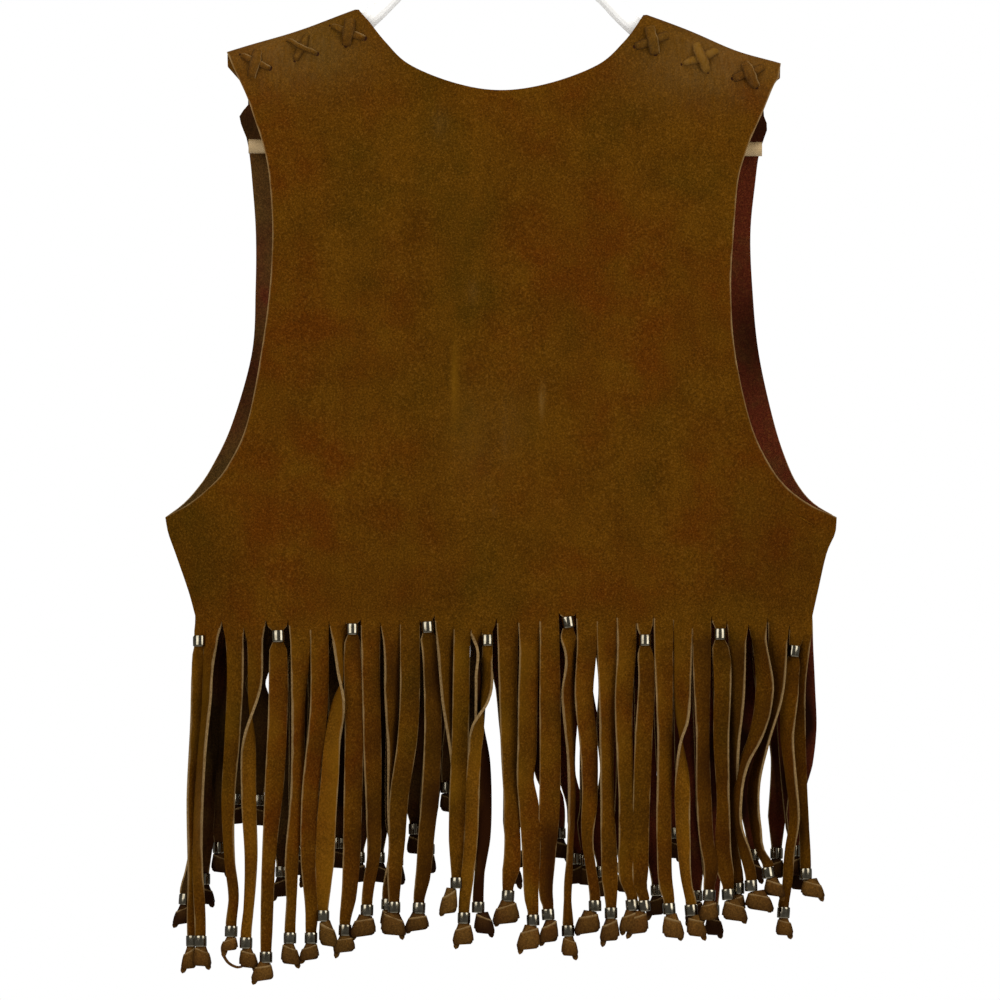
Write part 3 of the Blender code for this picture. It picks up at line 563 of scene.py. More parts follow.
# One knot also has a thin tail that hangs in a loop: rows of how far it is to the right of the knot's
# top and below it
LOOP = ((-4, 4.4), (-5.1, 8.6), (-3.6, 13.8), (0.5, 18.7), (6.3, 20.9), (10.3, 20))
# A strand's tone makes it more golden above 0 and darker below 0; where a strand hangs in its neighbours'
# shadow, such as the one at -1.0, that darkness is painted shade
Strand = namedtuple("Strand", "tone course end_x end_drop knot")
BACK_STRANDS = (
    Strand(0.02, ((45, -212.4, 9.4, -25), (59, -212.6, 9.4, -30), (129, -216.7, 6.4, -50),
                  (185, -216.5, 6, -40)), -216.3, 228, Knot(-1, 11, 16, -18)),
    Strand(0.1, ((17, -202.9, 9.4, 20), (31, -204.6, 7, 48), (59, -206.2, 5.5, 62),
                 (101, -210, 5, 65), (164, -212.4, 6, 45)), -210.7, 228, Knot(0.5, 13.5, 14, 10)),
    Strand(0.0, ((17, -186.6, 12, 10), (87, -188, 10.5, 20), (129, -190.8, 9, 25),
                 (171, -189.7, 7, 30), (199, -187.3, 6.3)),
           -189, 221, Knot(0, 11.5, 10, -20, LOOP)),
    Strand(0.1, ((17, -172, 10.5, 20), (52, -172.6, 8, 50), (70, -175, 5, 88),
                 (87, -176.5, 7.7, 130), (129, -176.8, 10, 160), (171, -175, 8.4, 180),
                 (206, -176.8, 6.3, 180)), -178.5, 229, Knot(0.5, 13.5, 14, 20)),
    Strand(0.0, ((45, -155.8, 13.3), (115, -158.6, 13.3, -8), (171, -162.8, 9.1, -15),
                 (222, -164.2, 7.7)), -164.5, 239, Knot(-1, 15.5, 13, -25)),
    Strand(0.05, ((17, -140.7, 13.6), (59, -142, 8.8, -38), (129, -143, 9.1, -32),
                  (171, -146.7, 9.1, -18), (199, -146.7, 6.3)),
           -147.7, 225.5, Knot(-1, 13.5, 15, 20)),
    Strand(-0.08, ((17, -127, 12.4), (59, -127.4, 12, -18), (129, -134, 11.5, -15), (171, -135, 9.8),
                   (215, -132.7, 7.7)), -133, 225.5, Knot(0, 14, 12, -22)),
    Strand(0.3, ((17, -113.5, 8.5, -38), (42, -111.5, 6, -74), (59, -113.5, 7, -118),
                 (87, -117.6, 10.5, -158), (115, -119.9, 12.2, -180), (145, -122.2, 13, -180),
                 (171, -123.2, 13.2, -180), (192, -124.3, 9.8, -180)),
           -124.6, 210, Knot(1.5, 13, 18, 28)),
    Strand(-0.15, ((31, -104, 11.9), (87, -102.6, 13, 8), (129, -103.6, 12.6, 5),
                   (171, -104.7, 11.9), (199, -106.8, 10)), -109.2, 220, Knot(0.5, 15.5, 12, -18)),
    Strand(-0.2, ((17, -91.4, 13, -12), (101, -90, 11.9, -18), (143, -89.3, 10, -25),
                  (171, -89.5, 8.4), (185, -92, 7.7)), -93.8, 206, Knot(-1, 18, 15, -25)),
    Strand(-0.4, ((17, -76.7, 11.5, -20), (59, -76.7, 9, -35, -2), (87, -76.3, 6, -54, -4),
                  (129, -76.5, 5.4, -56, -7), (178, -77.6, 5, -60, -6)),
           -79.4, 202, Knot(0, 12, 13, 10)),
    Strand(-0.2, ((17, -63.7, 13.6), (87, -65.5, 13.6, 5), (129, -71.4, 13, 5), (157, -72.8, 11.2),
                  (185, -74.6, 9.1)), -74.9, 204, Knot(-1.5, 18, 16, 15)),
    Strand(-0.5, ((17, -50.8, 11, -12), (59, -48, 11.5, -15), (115, -49, 12, -8), (157, -52.5, 11),
                  (185, -55, 10)), -57.4, 204.5, Knot(0, 17, 12.5, -25)),
    Strand(-0.2, ((17, -39.5, 11, -28), (59, -37.8, 6.5, -58, -2), (115, -31.5, 5, -62, -9)),
           -28, 146, Knot(0, 11, 12, 10)),
    Strand(0.1, ((17, -27.3, 11.2), (87, -28.4, 11.5, 10), (129, -29.9, 12.5, 5),
                 (157, -31, 10.5, 10)), -31, 187, Knot(-4, 12.5, 18, -22)),
    Strand(-1.0, ((17, -16.8, 4.8, -66), (45, -15.8, 4.5, -72), (73, -15.5, 5, -70, -4),
                  (101, -12.6, 8.5, -45, -5), (129, -11.6, 9, -30, -3), (157, -12.4, 9, -10),
                  (180, -15, 6)), -16, 204, Knot(3, 14.5, 15, 18)),
    Strand(0.1, ((31, -9.5, 7, 30), (45, -9, 6.5, 45), (62, -12, 6, 75, 3), (76, -16, 7, 120, 4),
                 (94, -18.4, 8.4, 155, 4), (115, -19.6, 8.8, 175, 4), (157, -21, 8.6, 180, 3),
                 (185, -23.8, 8.4, 180, 2)), -25.9, 211.5, Knot(0, 15, 15, -8)),
    Strand(0.0, ((17, 4.6, 14, -8), (101, 5.6, 10.5, -25), (129, 6.7, 9.5, -20), (178, 7, 12)),
           4.9, 196, Knot(0, 19, 16, -18)),
    Strand(0.08, ((17, 19.6, 13.6, -18), (59, 18.6, 13, -22), (98, 17.9, 13, -20),
                  (115, 16.9, 11.4, -18), (130, 19.2, 13.6), (142, 20.4, 14.4), (171, 21.2, 12.4),
                  (199, 21.4, 9.1)), 22.4, 213, Knot(-1.5, 17, 17, -18)),
    Strand(-0.1, ((17, 34, 13.4), (59, 34.3, 14.5), (122, 34.1, 14.6, -8), (145, 33.4, 14),
                  (171, 32.3, 11.4, 10), (199, 32, 8.6)), 32.9, 209, Knot(2, 13.5, 16, -20)),
    Strand(-0.2, ((17, 47.6, 11.2, -20), (59, 46.9, 8.4, -40), (101, 48.9, 4.2, -60),
                  (129, 49.4, 4.2, -55), (171, 47.6, 3.8, -50), (199, 46.6, 3.8)),
           46.9, 220.5, Knot(0.5, 12, 14, 10)),
    Strand(-0.08, ((17, 60.2, 13.6), (59, 58, 12.4, -20), (87, 60.9, 12.4, -15),
                   (129, 62, 10.5, -10), (157, 60.9, 7.4, 30), (178, 63.4, 6.3, 20)),
           65.8, 203, Knot(-3.5, 18, 16, -25)),
    Strand(0.0, ((17, 74.2, 13.4), (59, 74.2, 11.2, -25), (129, 74.2, 8.6, -38), (185, 76.3, 11)),
           77, 208, Knot(0, 14, 16, -12)),
    Strand(0.05, ((17, 87.9, 13, -14), (59, 85.8, 12, -20), (129, 87.5, 10, -15), (157, 88, 10.6),
                  (185, 87.9, 9.4)), 91.7, 202.5, Knot(-1, 14, 15, -15)),
    Strand(-0.1, ((31, 101.5, 11.2), (87, 99.8, 11.9), (157, 97.8, 11.4, 8), (178, 97.5, 11),
                  (192, 97.8, 9)), 100, 203, Knot(-3, 15.5, 16, -20)),
    Strand(0.0, ((17, 113.8, 13), (87, 114.5, 9.6, -32), (157, 114, 10, -15), (192, 116, 9.1)),
           117.6, 205, Knot(1.5, 15.5, 17, 18)),
    Strand(0.1, ((17, 127.4, 12.4, 12), (52, 127, 11, 30), (76, 127, 6.5, 65), (89, 126, 4, 95),
                 (108, 126.6, 8, 140), (129, 127, 10.5, 180), (157, 127.8, 9.1, 180),
                 (190, 130.6, 6, 180)), 133, 206, Knot(2.5, 14, 15, 20)),
    Strand(-0.42, ((17, 140.4, 13), (87, 141, 8.4, -35), (129, 142, 10, -15), (157, 143.9, 9.4),
                   (178, 147, 9.6)), 145.6, 195.5, Knot(0.5, 14, 14, -12)),
    Strand(-0.24, ((31, 154.7, 12.4, 8), (87, 154.4, 10.5, 18), (129, 155.8, 8, 35),
                   (178, 156.8, 12, 5)), 158.9, 195, Knot(3, 18, 15, 24)),
    Strand(-0.4, ((17, 165.6, 11.9, 15), (59, 165.2, 9.8, 35), (87, 163.8, 6, 58, -3),
                  (129, 163, 6, 55, -7), (171, 165, 6, 40, -7)), 166, 191, Knot(0, 12, 13, -10)),
    Strand(-0.3, ((17, 181, 9.5, 30), (52, 184.8, 12.4, 18), (87, 177.5, 9.1, 38, 2),
                  (101, 171, 6.5, 55, 3), (129, 165.6, 5, 66, 4), (150, 166.6, 5, 60, 3),
                  (164, 170.8, 7, 40, 2)), 175, 189, Knot(4, 20, 14, 28)),
    Strand(-0.25, ((17, 194, 13, 15), (59, 192.5, 8, 50, -1), (87, 185, 6, 60, -1),
                   (122, 177, 7.5, 52, -1), (150, 179, 6.5, 50), (164, 181.7, 5.5, 45)),
           187, 180, Knot(3, 14.5, 13, 25)),
    Strand(-0.1, ((36, 203.4, 12.2, 4, 2), (56, 202.4, 11.8, 8, 3), (84, 200.6, 8.5, 40, 4),
                  (115, 203.5, 6.5, 54, 4), (143, 205.8, 6, 50, 3), (164, 202.7, 6.3, 35, 2),
                  (192, 200, 5.6)), 198, 208, Knot(0, 12.5, 12.5, 10)),
    Strand(-0.2, ((17, 213.6, 8, 20), (45, 210.4, 7, 30, -1), (80, 208.8, 9.4, 12, -2),
                  (115, 209.8, 9.2, 8, -2), (150, 212.6, 6.4, 15, -1)),
           213.5, 181, Knot(3.5, 16.5, 13, 25)),
)
print("courses:", len(BACK_STRANDS), "stations:", sum(len(strand.course) for strand in BACK_STRANDS))

# %% Beads high on every fourth strand
TopBead = namedtuple("TopBead", "strand x drop tilt size", defaults=(1.0,))
TOP_BEADS = (
    TopBead(0, -211.4, 17.7, 0),
    TopBead(4, -156.1, 14.2, 2, 1.08),
    TopBead(8, -104.0, 9.3, 0),
    TopBead(12, -51.5, 7.9, 4),
    TopBead(16, -9.5, 17.0, 0),
    TopBead(20, 46.9, 4.4, 10),
    TopBead(24, 100.8, 17.0, 0),
    TopBead(28, 153.3, 12.8, 0),
    TopBead(32, 205.1, 24.7, -8),
)
print("top beads:", len(TOP_BEADS))

# %% A strand's whole course
# A strand gathers above a bead that is high on it, is narrow in the bead, and spreads below it;
# lengths are in millimetres, the others are shares
WIDEST = 15.0
NARROW = 6.0
LOOSE = 0.8
LEAST_FACING = 0.4
LEAST_STEP = 2.0
BEAD_HALF = 3.6
GATHER_SHARE = 0.6
GATHER_WIDTH = 0.82
SPREAD = 6.0
SPREAD_WIDTH = 0.9


def full_course(strand, top_middle, top_width, top_drop, top_bead):
    """The course with its start at the hem and its narrow places in the beads, as table columns."""
    stations = [Station(top_drop, top_middle, top_width)]
    if top_bead:
        neck = top_bead.drop - BEAD_HALF
        foot = top_bead.drop + BEAD_HALF
        first = Station(*strand.course[0])
        gather = top_drop + GATHER_SHARE * (neck - top_drop)
        stations.append(Station(gather, (top_middle + top_bead.x) / 2, GATHER_WIDTH * top_width))
        stations += [Station(neck, top_bead.x, NARROW), Station(foot, top_bead.x, NARROW)]
        if first.drop > foot + SPREAD + LEAST_STEP:
            middle = (2 * top_bead.x + first.middle) / 3
            stations.append(Station(foot + SPREAD, middle, SPREAD_WIDTH * first.width))
    stations += [Station(*row) for row in strand.course]
    last = stations[-1]
    settled = round(last.turn / 180) * 180
    behind = min(0, last.forward)
    above = strand.end_drop - BEAD_HALF - LEAST_STEP
    inside = strand.end_drop + BEAD_HALF / 2
    stations.append(Station(above, strand.end_x, NARROW + LOOSE, settled, behind))
    stations.append(Station(inside, strand.end_x, NARROW, settled, behind))
    drops = np.array([row.drop for row in stations], float)
    turns = np.array([row.turn for row in stations], float)
    seen = np.array([row.width for row in stations], float)
    facing = np.maximum(np.abs(np.cos(np.radians(turns))), LEAST_FACING)
    width = np.minimum(WIDEST, seen / facing)
    middle = np.array([row.middle for row in stations], float)
    forward = np.array([row.forward for row in stations], float)
    return drops, middle, width, turns, forward


print("a strand is at most", WIDEST, "mm wide, and", NARROW, "mm in a bead")

# %% Points down a strand
# The rows leave the panel's own hem line over FADE, and are cupped across, more where the strand is
# narrow; lengths are in millimetres
STRAND_COLUMNS = 4
STRAND_ROW = 4.5
LEAST_HALF = 2.0
FADE = 22.0
CUP = 0.7
NARROW_CUP = 1.6
CUP_HALF = 6.0


def strand_points(course, top_row, facing):
    """Rows of points down one strand, from the panel's own points at the slit to the last bead."""
    drops, middles, widths, turns, forwards = course
    rows = int((drops[-1] - drops[0]) / STRAND_ROW)
    drop = np.linspace(drops[0], drops[-1], rows + 1)
    drop = np.unique(np.concatenate([drop, drops]))
    middle = smooth_read(drops, middles, drop)
    half = np.maximum(LEAST_HALF, np.interp(drop, drops, widths) / 2)
    turn = np.radians(smooth_read(drops, turns, drop))
    forward = smooth_read(drops, forwards, drop)
    across = np.linspace(-1, 1, STRAND_COLUMNS + 1)[None, :]
    fade = (1 - soft_step((drop - drops[0]) / FADE))[:, None]
    top = top_row / MM
    top_y = top[:, 1].mean()
    cupped = CUP + NARROW_CUP * np.clip(1 - half / CUP_HALF, 0, 1)
    cupped = cupped[:, None] * (1 - across ** 2)
    x = middle[:, None] + across * (half * np.cos(turn))[:, None]
    y = top_y + facing * (forward[:, None] + across * (half * np.sin(turn))[:, None] + cupped)
    y += fade * (top[:, 1] - top_y)[None, :]
    level = (NECK_LEVEL + HEM) / MM - drop[:, None] + 0 * across
    level += fade * (top[:, 2] - level[0])[None, :]
    points = np.stack([x, y, level], axis=-1) * MM
    points[0] = top_row
    return points


print("points across a strand:", STRAND_COLUMNS + 1)

# %% [markdown]
# ## Panels
# A panel's flat cut is filled with rows of points from hem to shoulder, laid on the form, and joined
# to its strands. A cloth simulation could drape it, but heavy suede on a hanger lies almost flat, so
# its few soft swells are a table of mounds. So are its scuffs, its darker and lighter places, some of
# them painted shade, and where its brown is warmer. Solidify then gives the hide its thickness, with
# the pale cut edge as the rim and the reverse of the hide as the far side.

# %% Mounds
# A mound has its middle, half width and half length in millimetres, and its strength, which is
# millimetres for a swell and a share for a scuff, a tone or a warmth
Mound = namedtuple("Mound", "x level half_width half_length strength")


def bumps(x, height, table):
    """The sum of soft mounds from a table, over arrays of places."""
    total = np.zeros_like(x)
    for row in table:
        across = (x / MM - row.x) / row.half_width
        along = (height / MM - row.level) / row.half_length
        total += row.strength * np.exp(-MOUND_FALL * (across ** 2 + along ** 2))
    return total


print("a mound has:", ", ".join(Mound._fields))

# %% Edges and tones of the strands
SHADED_EDGE = 0.7
NEARER_FROM = 0.5
NEARER_REACH = 3.0
SETTLE_ROWS = 6
STRAND_RIPPLE = 0.1
# A ripple's length in rows, and the step and power that shift it from strand to strand
RIPPLES = ((3.1, 2.4, 2), (1.7, 1.3, 3))


def edge_distance(points):
    """Distance of a strand's points, in millimetres, from the cut edge that the light catches: the left
    one, or the right one where that comes nearer the eye."""
    steps = np.linalg.norm(np.diff(points, axis=1), axis=2) / MM
    from_left = np.concatenate([np.zeros((len(points), 1)), np.cumsum(steps, axis=1)], axis=1)
    from_right = from_left[:, -1:] - from_left
    nearer = (points[:, :1, 1] - points[:, -1:, 1]) / MM
    right_share = soft_step((nearer - NEARER_FROM) / NEARER_REACH)
    return np.minimum(from_left + SHADED_EDGE * right_share, from_right + SHADED_EDGE * (1 - right_share))


def strand_tones(number, tone, length, side_shade):
    """A strand's tone at its points: its own, a slow ripple down it, and painted shade on one side."""
    down = np.arange(1, length + 1)[:, None]
    ripple = sum(np.sin(down / rows + step * number ** power) for rows, step, power in RIPPLES)
    side = side_shade * np.linspace(-1, 1, STRAND_COLUMNS + 1)[None, :]
    return (soft_step(down / SETTLE_ROWS) * (tone + STRAND_RIPPLE * ripple - side)).ravel()


print("rows before a strand has its own tone:", SETTLE_ROWS)

# %% A panel and its strands in one mesh
STRAND_EDGE = 0.1
# Painted shade across each strand: lighter at its left edge, darker at its right
STRAND_SIDE_SHADE = 0.19


def grid_faces(rows, columns, first=0):
    corner = first + np.arange(rows - 1)[:, None] * columns + np.arange(columns - 1)[None, :]
    corner = corner.ravel()
    return np.stack([corner, corner + 1, corner + columns + 1, corner + columns], axis=1)


def join_strands(panel_points, panel_edge, strands):
    """Panel points and strand rows as one mesh: points, faces, and each point's tone and edge."""
    rows, columns, _ = panel_points.shape
    points = [panel_points.reshape(-1, 3)]
    faces = [grid_faces(rows, columns)]
    tones = [np.zeros(rows * columns)]
    edges = [panel_edge.ravel()]
    count = rows * columns
    line = STRAND_COLUMNS + 1
    for number, (tone, strand) in enumerate(strands):
        lower = strand[1:]
        index = count + np.arange(len(lower) * line).reshape(len(lower), line)
        top = number * STRAND_COLUMNS + np.arange(line)
        index = np.vstack([top, index])
        faces.append(np.stack([index[1:, :-1], index[1:, 1:], index[:-1, 1:], index[:-1, :-1]],
                              axis=-1).reshape(-1, 4))
        points.append(lower.reshape(-1, 3))
        tones.append(strand_tones(number, tone, len(lower), STRAND_SIDE_SHADE))
        edges.append((edge_distance(lower) + STRAND_EDGE).ravel())
        count += len(lower) * line
    values = {"tone": np.concatenate(tones), "edge": np.concatenate(edges)}
    return np.vstack(points), np.vstack(faces), values


print("faces in 3 rows of 4 points:", len(grid_faces(3, 4)))

# %% Sheets of hide
SMOOTH_ANGLE = math.radians(50)


def select_only(item):
    bpy.ops.object.select_all(action="DESELECT")
    item.select_set(True)
    bpy.context.view_layer.objects.active = item


def mesh_object(name, points, faces, materials, values):
    """A new object from points and faces, with its materials and each point's attributes."""
    mesh = bpy.data.meshes.new(name)
    mesh.from_pydata(points.tolist(), [], faces)
    for label, numbers in values.items():
        layer = mesh.attributes.new(label, "FLOAT", "POINT")
        layer.data.foreach_set("value", np.asarray(numbers, np.float32))
    for material in materials:
        mesh.materials.append(material)
    item = bpy.data.objects.new(name, mesh)
    scene.collection.objects.link(item)
    select_only(item)
    return item


def thicken(item, thickness, far_side):
    """Gives a sheet its thickness: the second material on its rim, and one for its far side."""
    hide = item.modifiers.new("hide", "SOLIDIFY")
    hide.thickness = thickness
    hide.offset = 0.0
    hide.material_offset = far_side
    hide.material_offset_rim = 1
    bpy.ops.object.modifier_apply(modifier="hide")
    bpy.ops.object.shade_smooth_by_angle(angle=SMOOTH_ANGLE)


def sheet_object(name, points, faces, values, near, far):
    item = mesh_object(name, points, faces.tolist(), [suedes[near], cut_edge, suedes[far]], values)
    thicken(item, LEATHER, 2)
    return item


def sheet_area(points, faces):
    """Area of the sheet's faces in square metres."""
    corners = points[faces]
    one = np.cross(corners[:, 1] - corners[:, 0], corners[:, 2] - corners[:, 0])
    two = np.cross(corners[:, 2] - corners[:, 0], corners[:, 3] - corners[:, 0])
    return float((np.linalg.norm(one, axis=1) + np.linalg.norm(two, axis=1)).sum() / 2)


print("hide:", round(LEATHER / MM, 1), "mm thick")

# %% Swells and marks of the back
BACK_SWELLS = (
    Mound(-95, -230, 60, 150, 1.6),
    Mound(60, -200, 50, 160, -1.4),
    Mound(-30, -330, 26, 110, -1.8),
    Mound(28, -350, 24, 90, 1.6),
    Mound(135, -330, 40, 90, 1.5),
    Mound(-165, -350, 30, 60, -1.4),
)
BACK_SCUFFS = (
    Mound(-20, -197, 4, 8, 0.14),
    Mound(29, -273, 1.8, 11, 0.36),
    Mound(3, -300, 3, 26, 0.07),
    Mound(-4, -350, 2.6, 5, 0.12),
    Mound(-211, -565, 4, 45, 0.2),
    Mound(-43, -80, 7, 12, 0.1),
    Mound(-18, -300, 22, 45, 0.05),
    Mound(10, -290, 14, 30, 0.04),
    Mound(-148, -27, 62, 31, 0.26),
    Mound(150, -34, 62, 32, 0.29),
)
# Lighter and darker places of the back: the hide's own tones, lighter over the shoulders, and painted
# shade on the lower parts of the two strands at x = 34 and x = -94.5
BACK_TONES_AND_SHADE = (
    Mound(185, -368, 40, 60, -0.24),
    Mound(-32.5, -258, 2.6, 28, 0.55),
    Mound(-24, -290, 16, 60, 0.06),
    Mound(-60, -400, 60, 30, -0.1),
    Mound(35, -330, 40, 70, 0.07),
    Mound(-145, -22, 60, 26, 0.1),
    Mound(150, -30, 60, 26, 0.1),
    Mound(34, -602, 8, 32, -0.8),
    Mound(-94.5, -580, 5, 50, -0.55),
    Mound(29, -273, 2, 12, 0.3),
)
BACK_WARMTH = (
    Mound(85, -205, 75, 75, 0.4),
    Mound(-110, -330, 70, 80, 0.55),
    Mound(-120, -190, 45, 60, 0.35),
    Mound(35, -395, 40, 40, 0.5),
    Mound(165, -370, 50, 50, 0.35),
    Mound(-35, -230, 32, 160, -0.6),
    Mound(-40, -90, 60, 50, -0.35),
    Mound(120, -90, 60, 40, -0.3),
    Mound(-205, -395, 25, 40, -0.4),
    Mound(-15, -400, 22, 50, -0.5),
    Mound(-9, -560, 8, 50, 1.0),
    Mound(-95, -40, 40, 30, -0.5),
    Mound(-128, -530, 28, 110, 0.85),
    Mound(-190, -520, 16, 90, -0.5),
    Mound(-58, -520, 20, 90, -0.6),
    Mound(50, -520, 34, 90, 0.6),
    Mound(112, -520, 14, 80, 0.4),
    Mound(165, -500, 26, 80, -0.7),
)
print("swells:", len(BACK_SWELLS), "marks:", len(BACK_SCUFFS + BACK_TONES_AND_SHADE + BACK_WARMTH))

# %% Cut of the back
SIDE_ROWS = 16
ARMHOLE_ROWS = 70
CREST_ROWS = 8
SHOULDER_COLUMNS = 29
CREST_TOP = BACK_RADIUS * math.pi / 2 - CREST
CREST_FADE = 6 * MM
TIP_REACH = 20 * MM


def edge_points(table, column, sign):
    return [(sign * getattr(row, column) * MM, row.level * MM) for row in table]


def back_edge(side, sign, shoulder):
    tip_x = sign * shoulder.tip_x * MM
    armhole = edge_points(ARMHOLE, "back_" + side, sign)
    armhole.append((tip_x - sign * shoulder.lean * MM, float(shoulder_line(np.array(tip_x))) - CREST))
    seam = spaced(smooth_curve(edge_points(SIDE, side, sign)), SIDE_ROWS)
    return np.vstack([seam, spaced(smooth_curve(armhole), ARMHOLE_ROWS)[1:]])


def hem_line(slits):
    """The panel's bottom row: a point at each slit's top, and the strand columns between them."""
    place = np.arange((len(slits) - 1) * STRAND_COLUMNS + 1) / STRAND_COLUMNS
    rows = np.arange(len(slits))
    x = np.interp(place, rows, [row.x for row in slits]) * MM
    drop = np.interp(place, rows, [row.drop for row in slits]) * MM
    return np.column_stack([x, HEM - drop])


def back_top(columns):
    """The neckline between the two shoulder creases, from tip to tip."""
    neck = smooth_curve([(row.x * MM, row.level * MM) for row in NECKLINE])
    left_tip = (-SHOULDER_LEFT.tip_x * MM, SHOULDER_LEFT.tip_level * MM)
    right_tip = (SHOULDER_RIGHT.tip_x * MM, SHOULDER_RIGHT.tip_level * MM)
    left = spaced([left_tip, neck[0]], SHOULDER_COLUMNS)
    right = spaced([neck[-1], right_tip], SHOULDER_COLUMNS)
    for line in (left, right):
        line[:, 1] = shoulder_line(line[:, 0])
    middle = spaced(neck, columns - 2 * SHOULDER_COLUMNS)
    return np.vstack([left, middle[1:-1], right])


def back_cut():
    """Rows of flat points from the hem to the foot of the shoulder's curl, and then round the curl."""
    bottom = hem_line(BACK_SLITS)
    top = back_top(len(bottom) - 1)
    foot = top - np.array([0, CREST])
    tip_x = np.where(top[:, 0] < 0, SHOULDER_LEFT.tip_x, SHOULDER_RIGHT.tip_x) * MM
    near_tip = soft_step(1 - (tip_x - np.abs(top[:, 0])) / TIP_REACH)
    lean = np.where(top[:, 0] < 0, -SHOULDER_LEFT.lean, SHOULDER_RIGHT.lean) * MM
    foot[:, 0] -= lean * near_tip
    cut = fill_patch(bottom, foot, back_edge("left", -1, SHOULDER_LEFT),
                     back_edge("right", 1, SHOULDER_RIGHT))
    on_shoulder = soft_step(1 - (SHOULDER_LEFT.neck_x * MM - np.abs(top[:, 0])) / CREST_FADE)
    over = top + np.column_stack([np.zeros(len(top)), CREST_TOP * on_shoulder])
    crest = []
    for row in range(1, CREST_ROWS + 1):
        share = row / CREST_ROWS
        crest.append(foot + (over - foot) * np.array((math.sin(share * math.pi / 2), share)))
    return np.concatenate([cut, np.array(crest)])


flat_back = back_cut()
print("rows and columns of the back:", flat_back.shape[:2])

# %% Back
FAR_FROM_EDGE = 9.0
# Painted shade: the back's strands darken by this much towards their ends, where less light reaches
STRAND_FALL_SHADE = 0.08
FALL_START = 40 * MM
FALL_REACH = 140 * MM


def panel_edge(points, strength):
    """Distance of a panel's points from its armhole edges, in millimetres; far where none shows."""
    distance = np.full(points.shape[:2], FAR_FROM_EDGE)
    for column, neighbour in ((0, 1), (-1, -2)):
        step = np.linalg.norm(points[:, column] - points[:, neighbour], axis=1) / MM
        distance[SIDE_ROWS:, column] = strength
        distance[SIDE_ROWS:, neighbour] = strength + step[SIDE_ROWS:]
    return distance


back_points = place_back(flat_back[..., 0], flat_back[..., 1])
back_points[..., 1] -= MM * bumps(flat_back[..., 0], flat_back[..., 1], BACK_SWELLS)
top_beads = {row.strand: row for row in TOP_BEADS}
back_courses = []
back_strands = []
for number, strand in enumerate(BACK_STRANDS):
    left, right = BACK_SLITS[number], BACK_SLITS[number + 1]
    course = full_course(strand, (left.x + right.x) / 2, right.x - left.x, (left.drop + right.drop) / 2,
                         top_beads.get(number))
    first = number * STRAND_COLUMNS
    top_row = back_points[0, first:first + STRAND_COLUMNS + 1]
    back_courses.append((course, top_row[:, 1].mean()))
    back_strands.append((strand.tone, strand_points(course, top_row, -1)))
points, faces, values = join_strands(back_points, panel_edge(back_points, 0.0), back_strands)
place = (points[:, 0], points[:, 2] - NECK_LEVEL)
low = soft_step((HEM - place[1] - FALL_START) / FALL_REACH)
values["tone"] += bumps(*place, BACK_TONES_AND_SHADE) - STRAND_FALL_SHADE * low
values["scuff"] = bumps(*place, BACK_SCUFFS)
values["warmth"] = bumps(*place, BACK_WARMTH)
vest_back = sheet_object("vest_back", points, faces, values, "suede_outside", "suede_inside")

# %% [markdown]
# ## Fronts
# Only the fronts' inner faces show in the photo, through the armholes and between the strands, but
# they are finished all round: a V neck, an open front edge, a shoulder fold with its tab under the
# back, and strands of their own, which hang a little shorter and bunch up behind the back's strands.
# One could be mirrored for the other, but their strands and tones differ, so each has its own table.

# %% Courses of the front strands
FRONT_OPENING_LEFT = -9.5
FRONT_OPENING_RIGHT = -7.5
FRONT_V_POINT = -235
FRONT_V_BEND = -110
FRONT_V_BEND_SHARE = 0.55
TAB_LENGTH = 28 * MM
TAB_TAPER = 26 * MM
TAB_INSET = 0.5 * MM
# Each front strand: rows of drop, middle and width, then its end and the lean of its knot
FrontStrand = namedtuple("FrontStrand", "course end_x end_drop lean")
LEFT_FRONT_STRANDS = (
    FrontStrand(((59, -209, 13), (110, -209, 13), (150, -210.5, 12), (180, -217.5, 8)),
                -221.5, 199, -28),
    FrontStrand(((59, -202.5, 13), (110, -205.5, 11), (150, -206.5, 9)), -208.5, 185, 15),
    FrontStrand(((59, -196, 15), (110, -199.5, 15), (138, -199.5, 13)), -198, 163, 20),
    FrontStrand(((60, -182, 15), (100, -184.5, 14)), -185.5, 129, -15),
    FrontStrand(((22, -167, 15), (37, -169.5, 14.5), (48, -172.4, 14), (58, -169.6, 14.5),
                 (80, -168, 15), (100, -169, 13)), -170, 130, 10),
    FrontStrand(((22, -154, 15), (48, -155.5, 15), (80, -155, 15), (130, -154, 14)),
                -154, 180, -12),
    FrontStrand(((30, -141.5, 15), (60, -141.5, 15), (120, -142, 14)), -143, 165, 15),
    FrontStrand(((30, -128, 15), (60, -128, 15), (120, -131, 15)), -133.5, 170, -20),
    FrontStrand(((30, -114, 15), (60, -113.5, 15), (120, -115.5, 15)), -114, 160, 12),
    FrontStrand(((30, -100, 15), (60, -100, 15), (120, -100.5, 15), (150, -100, 15)),
                -100, 170, -15),
    FrontStrand(((60, -86, 15), (120, -86.5, 15), (148, -86, 14)), -86, 170, 18),
    FrontStrand(((60, -72.5, 15), (120, -74, 15), (146, -74, 14)), -73, 172, -12),
    FrontStrand(((60, -59, 15), (110, -60.5, 15), (132, -60.5, 15)), -60.5, 150, 15),
    FrontStrand(((60, -45, 15), (105, -47.5, 15), (135, -50.5, 13)), -51, 164, -18),
    FrontStrand(((60, -31, 15), (92, -34, 14)), -38, 121, 30),
    FrontStrand(((30, -14.5, 14), (52, -17, 14), (73, -18.5, 14), (110, -21, 14), (140, -22, 12)),
                -24.5, 165, -15),
)
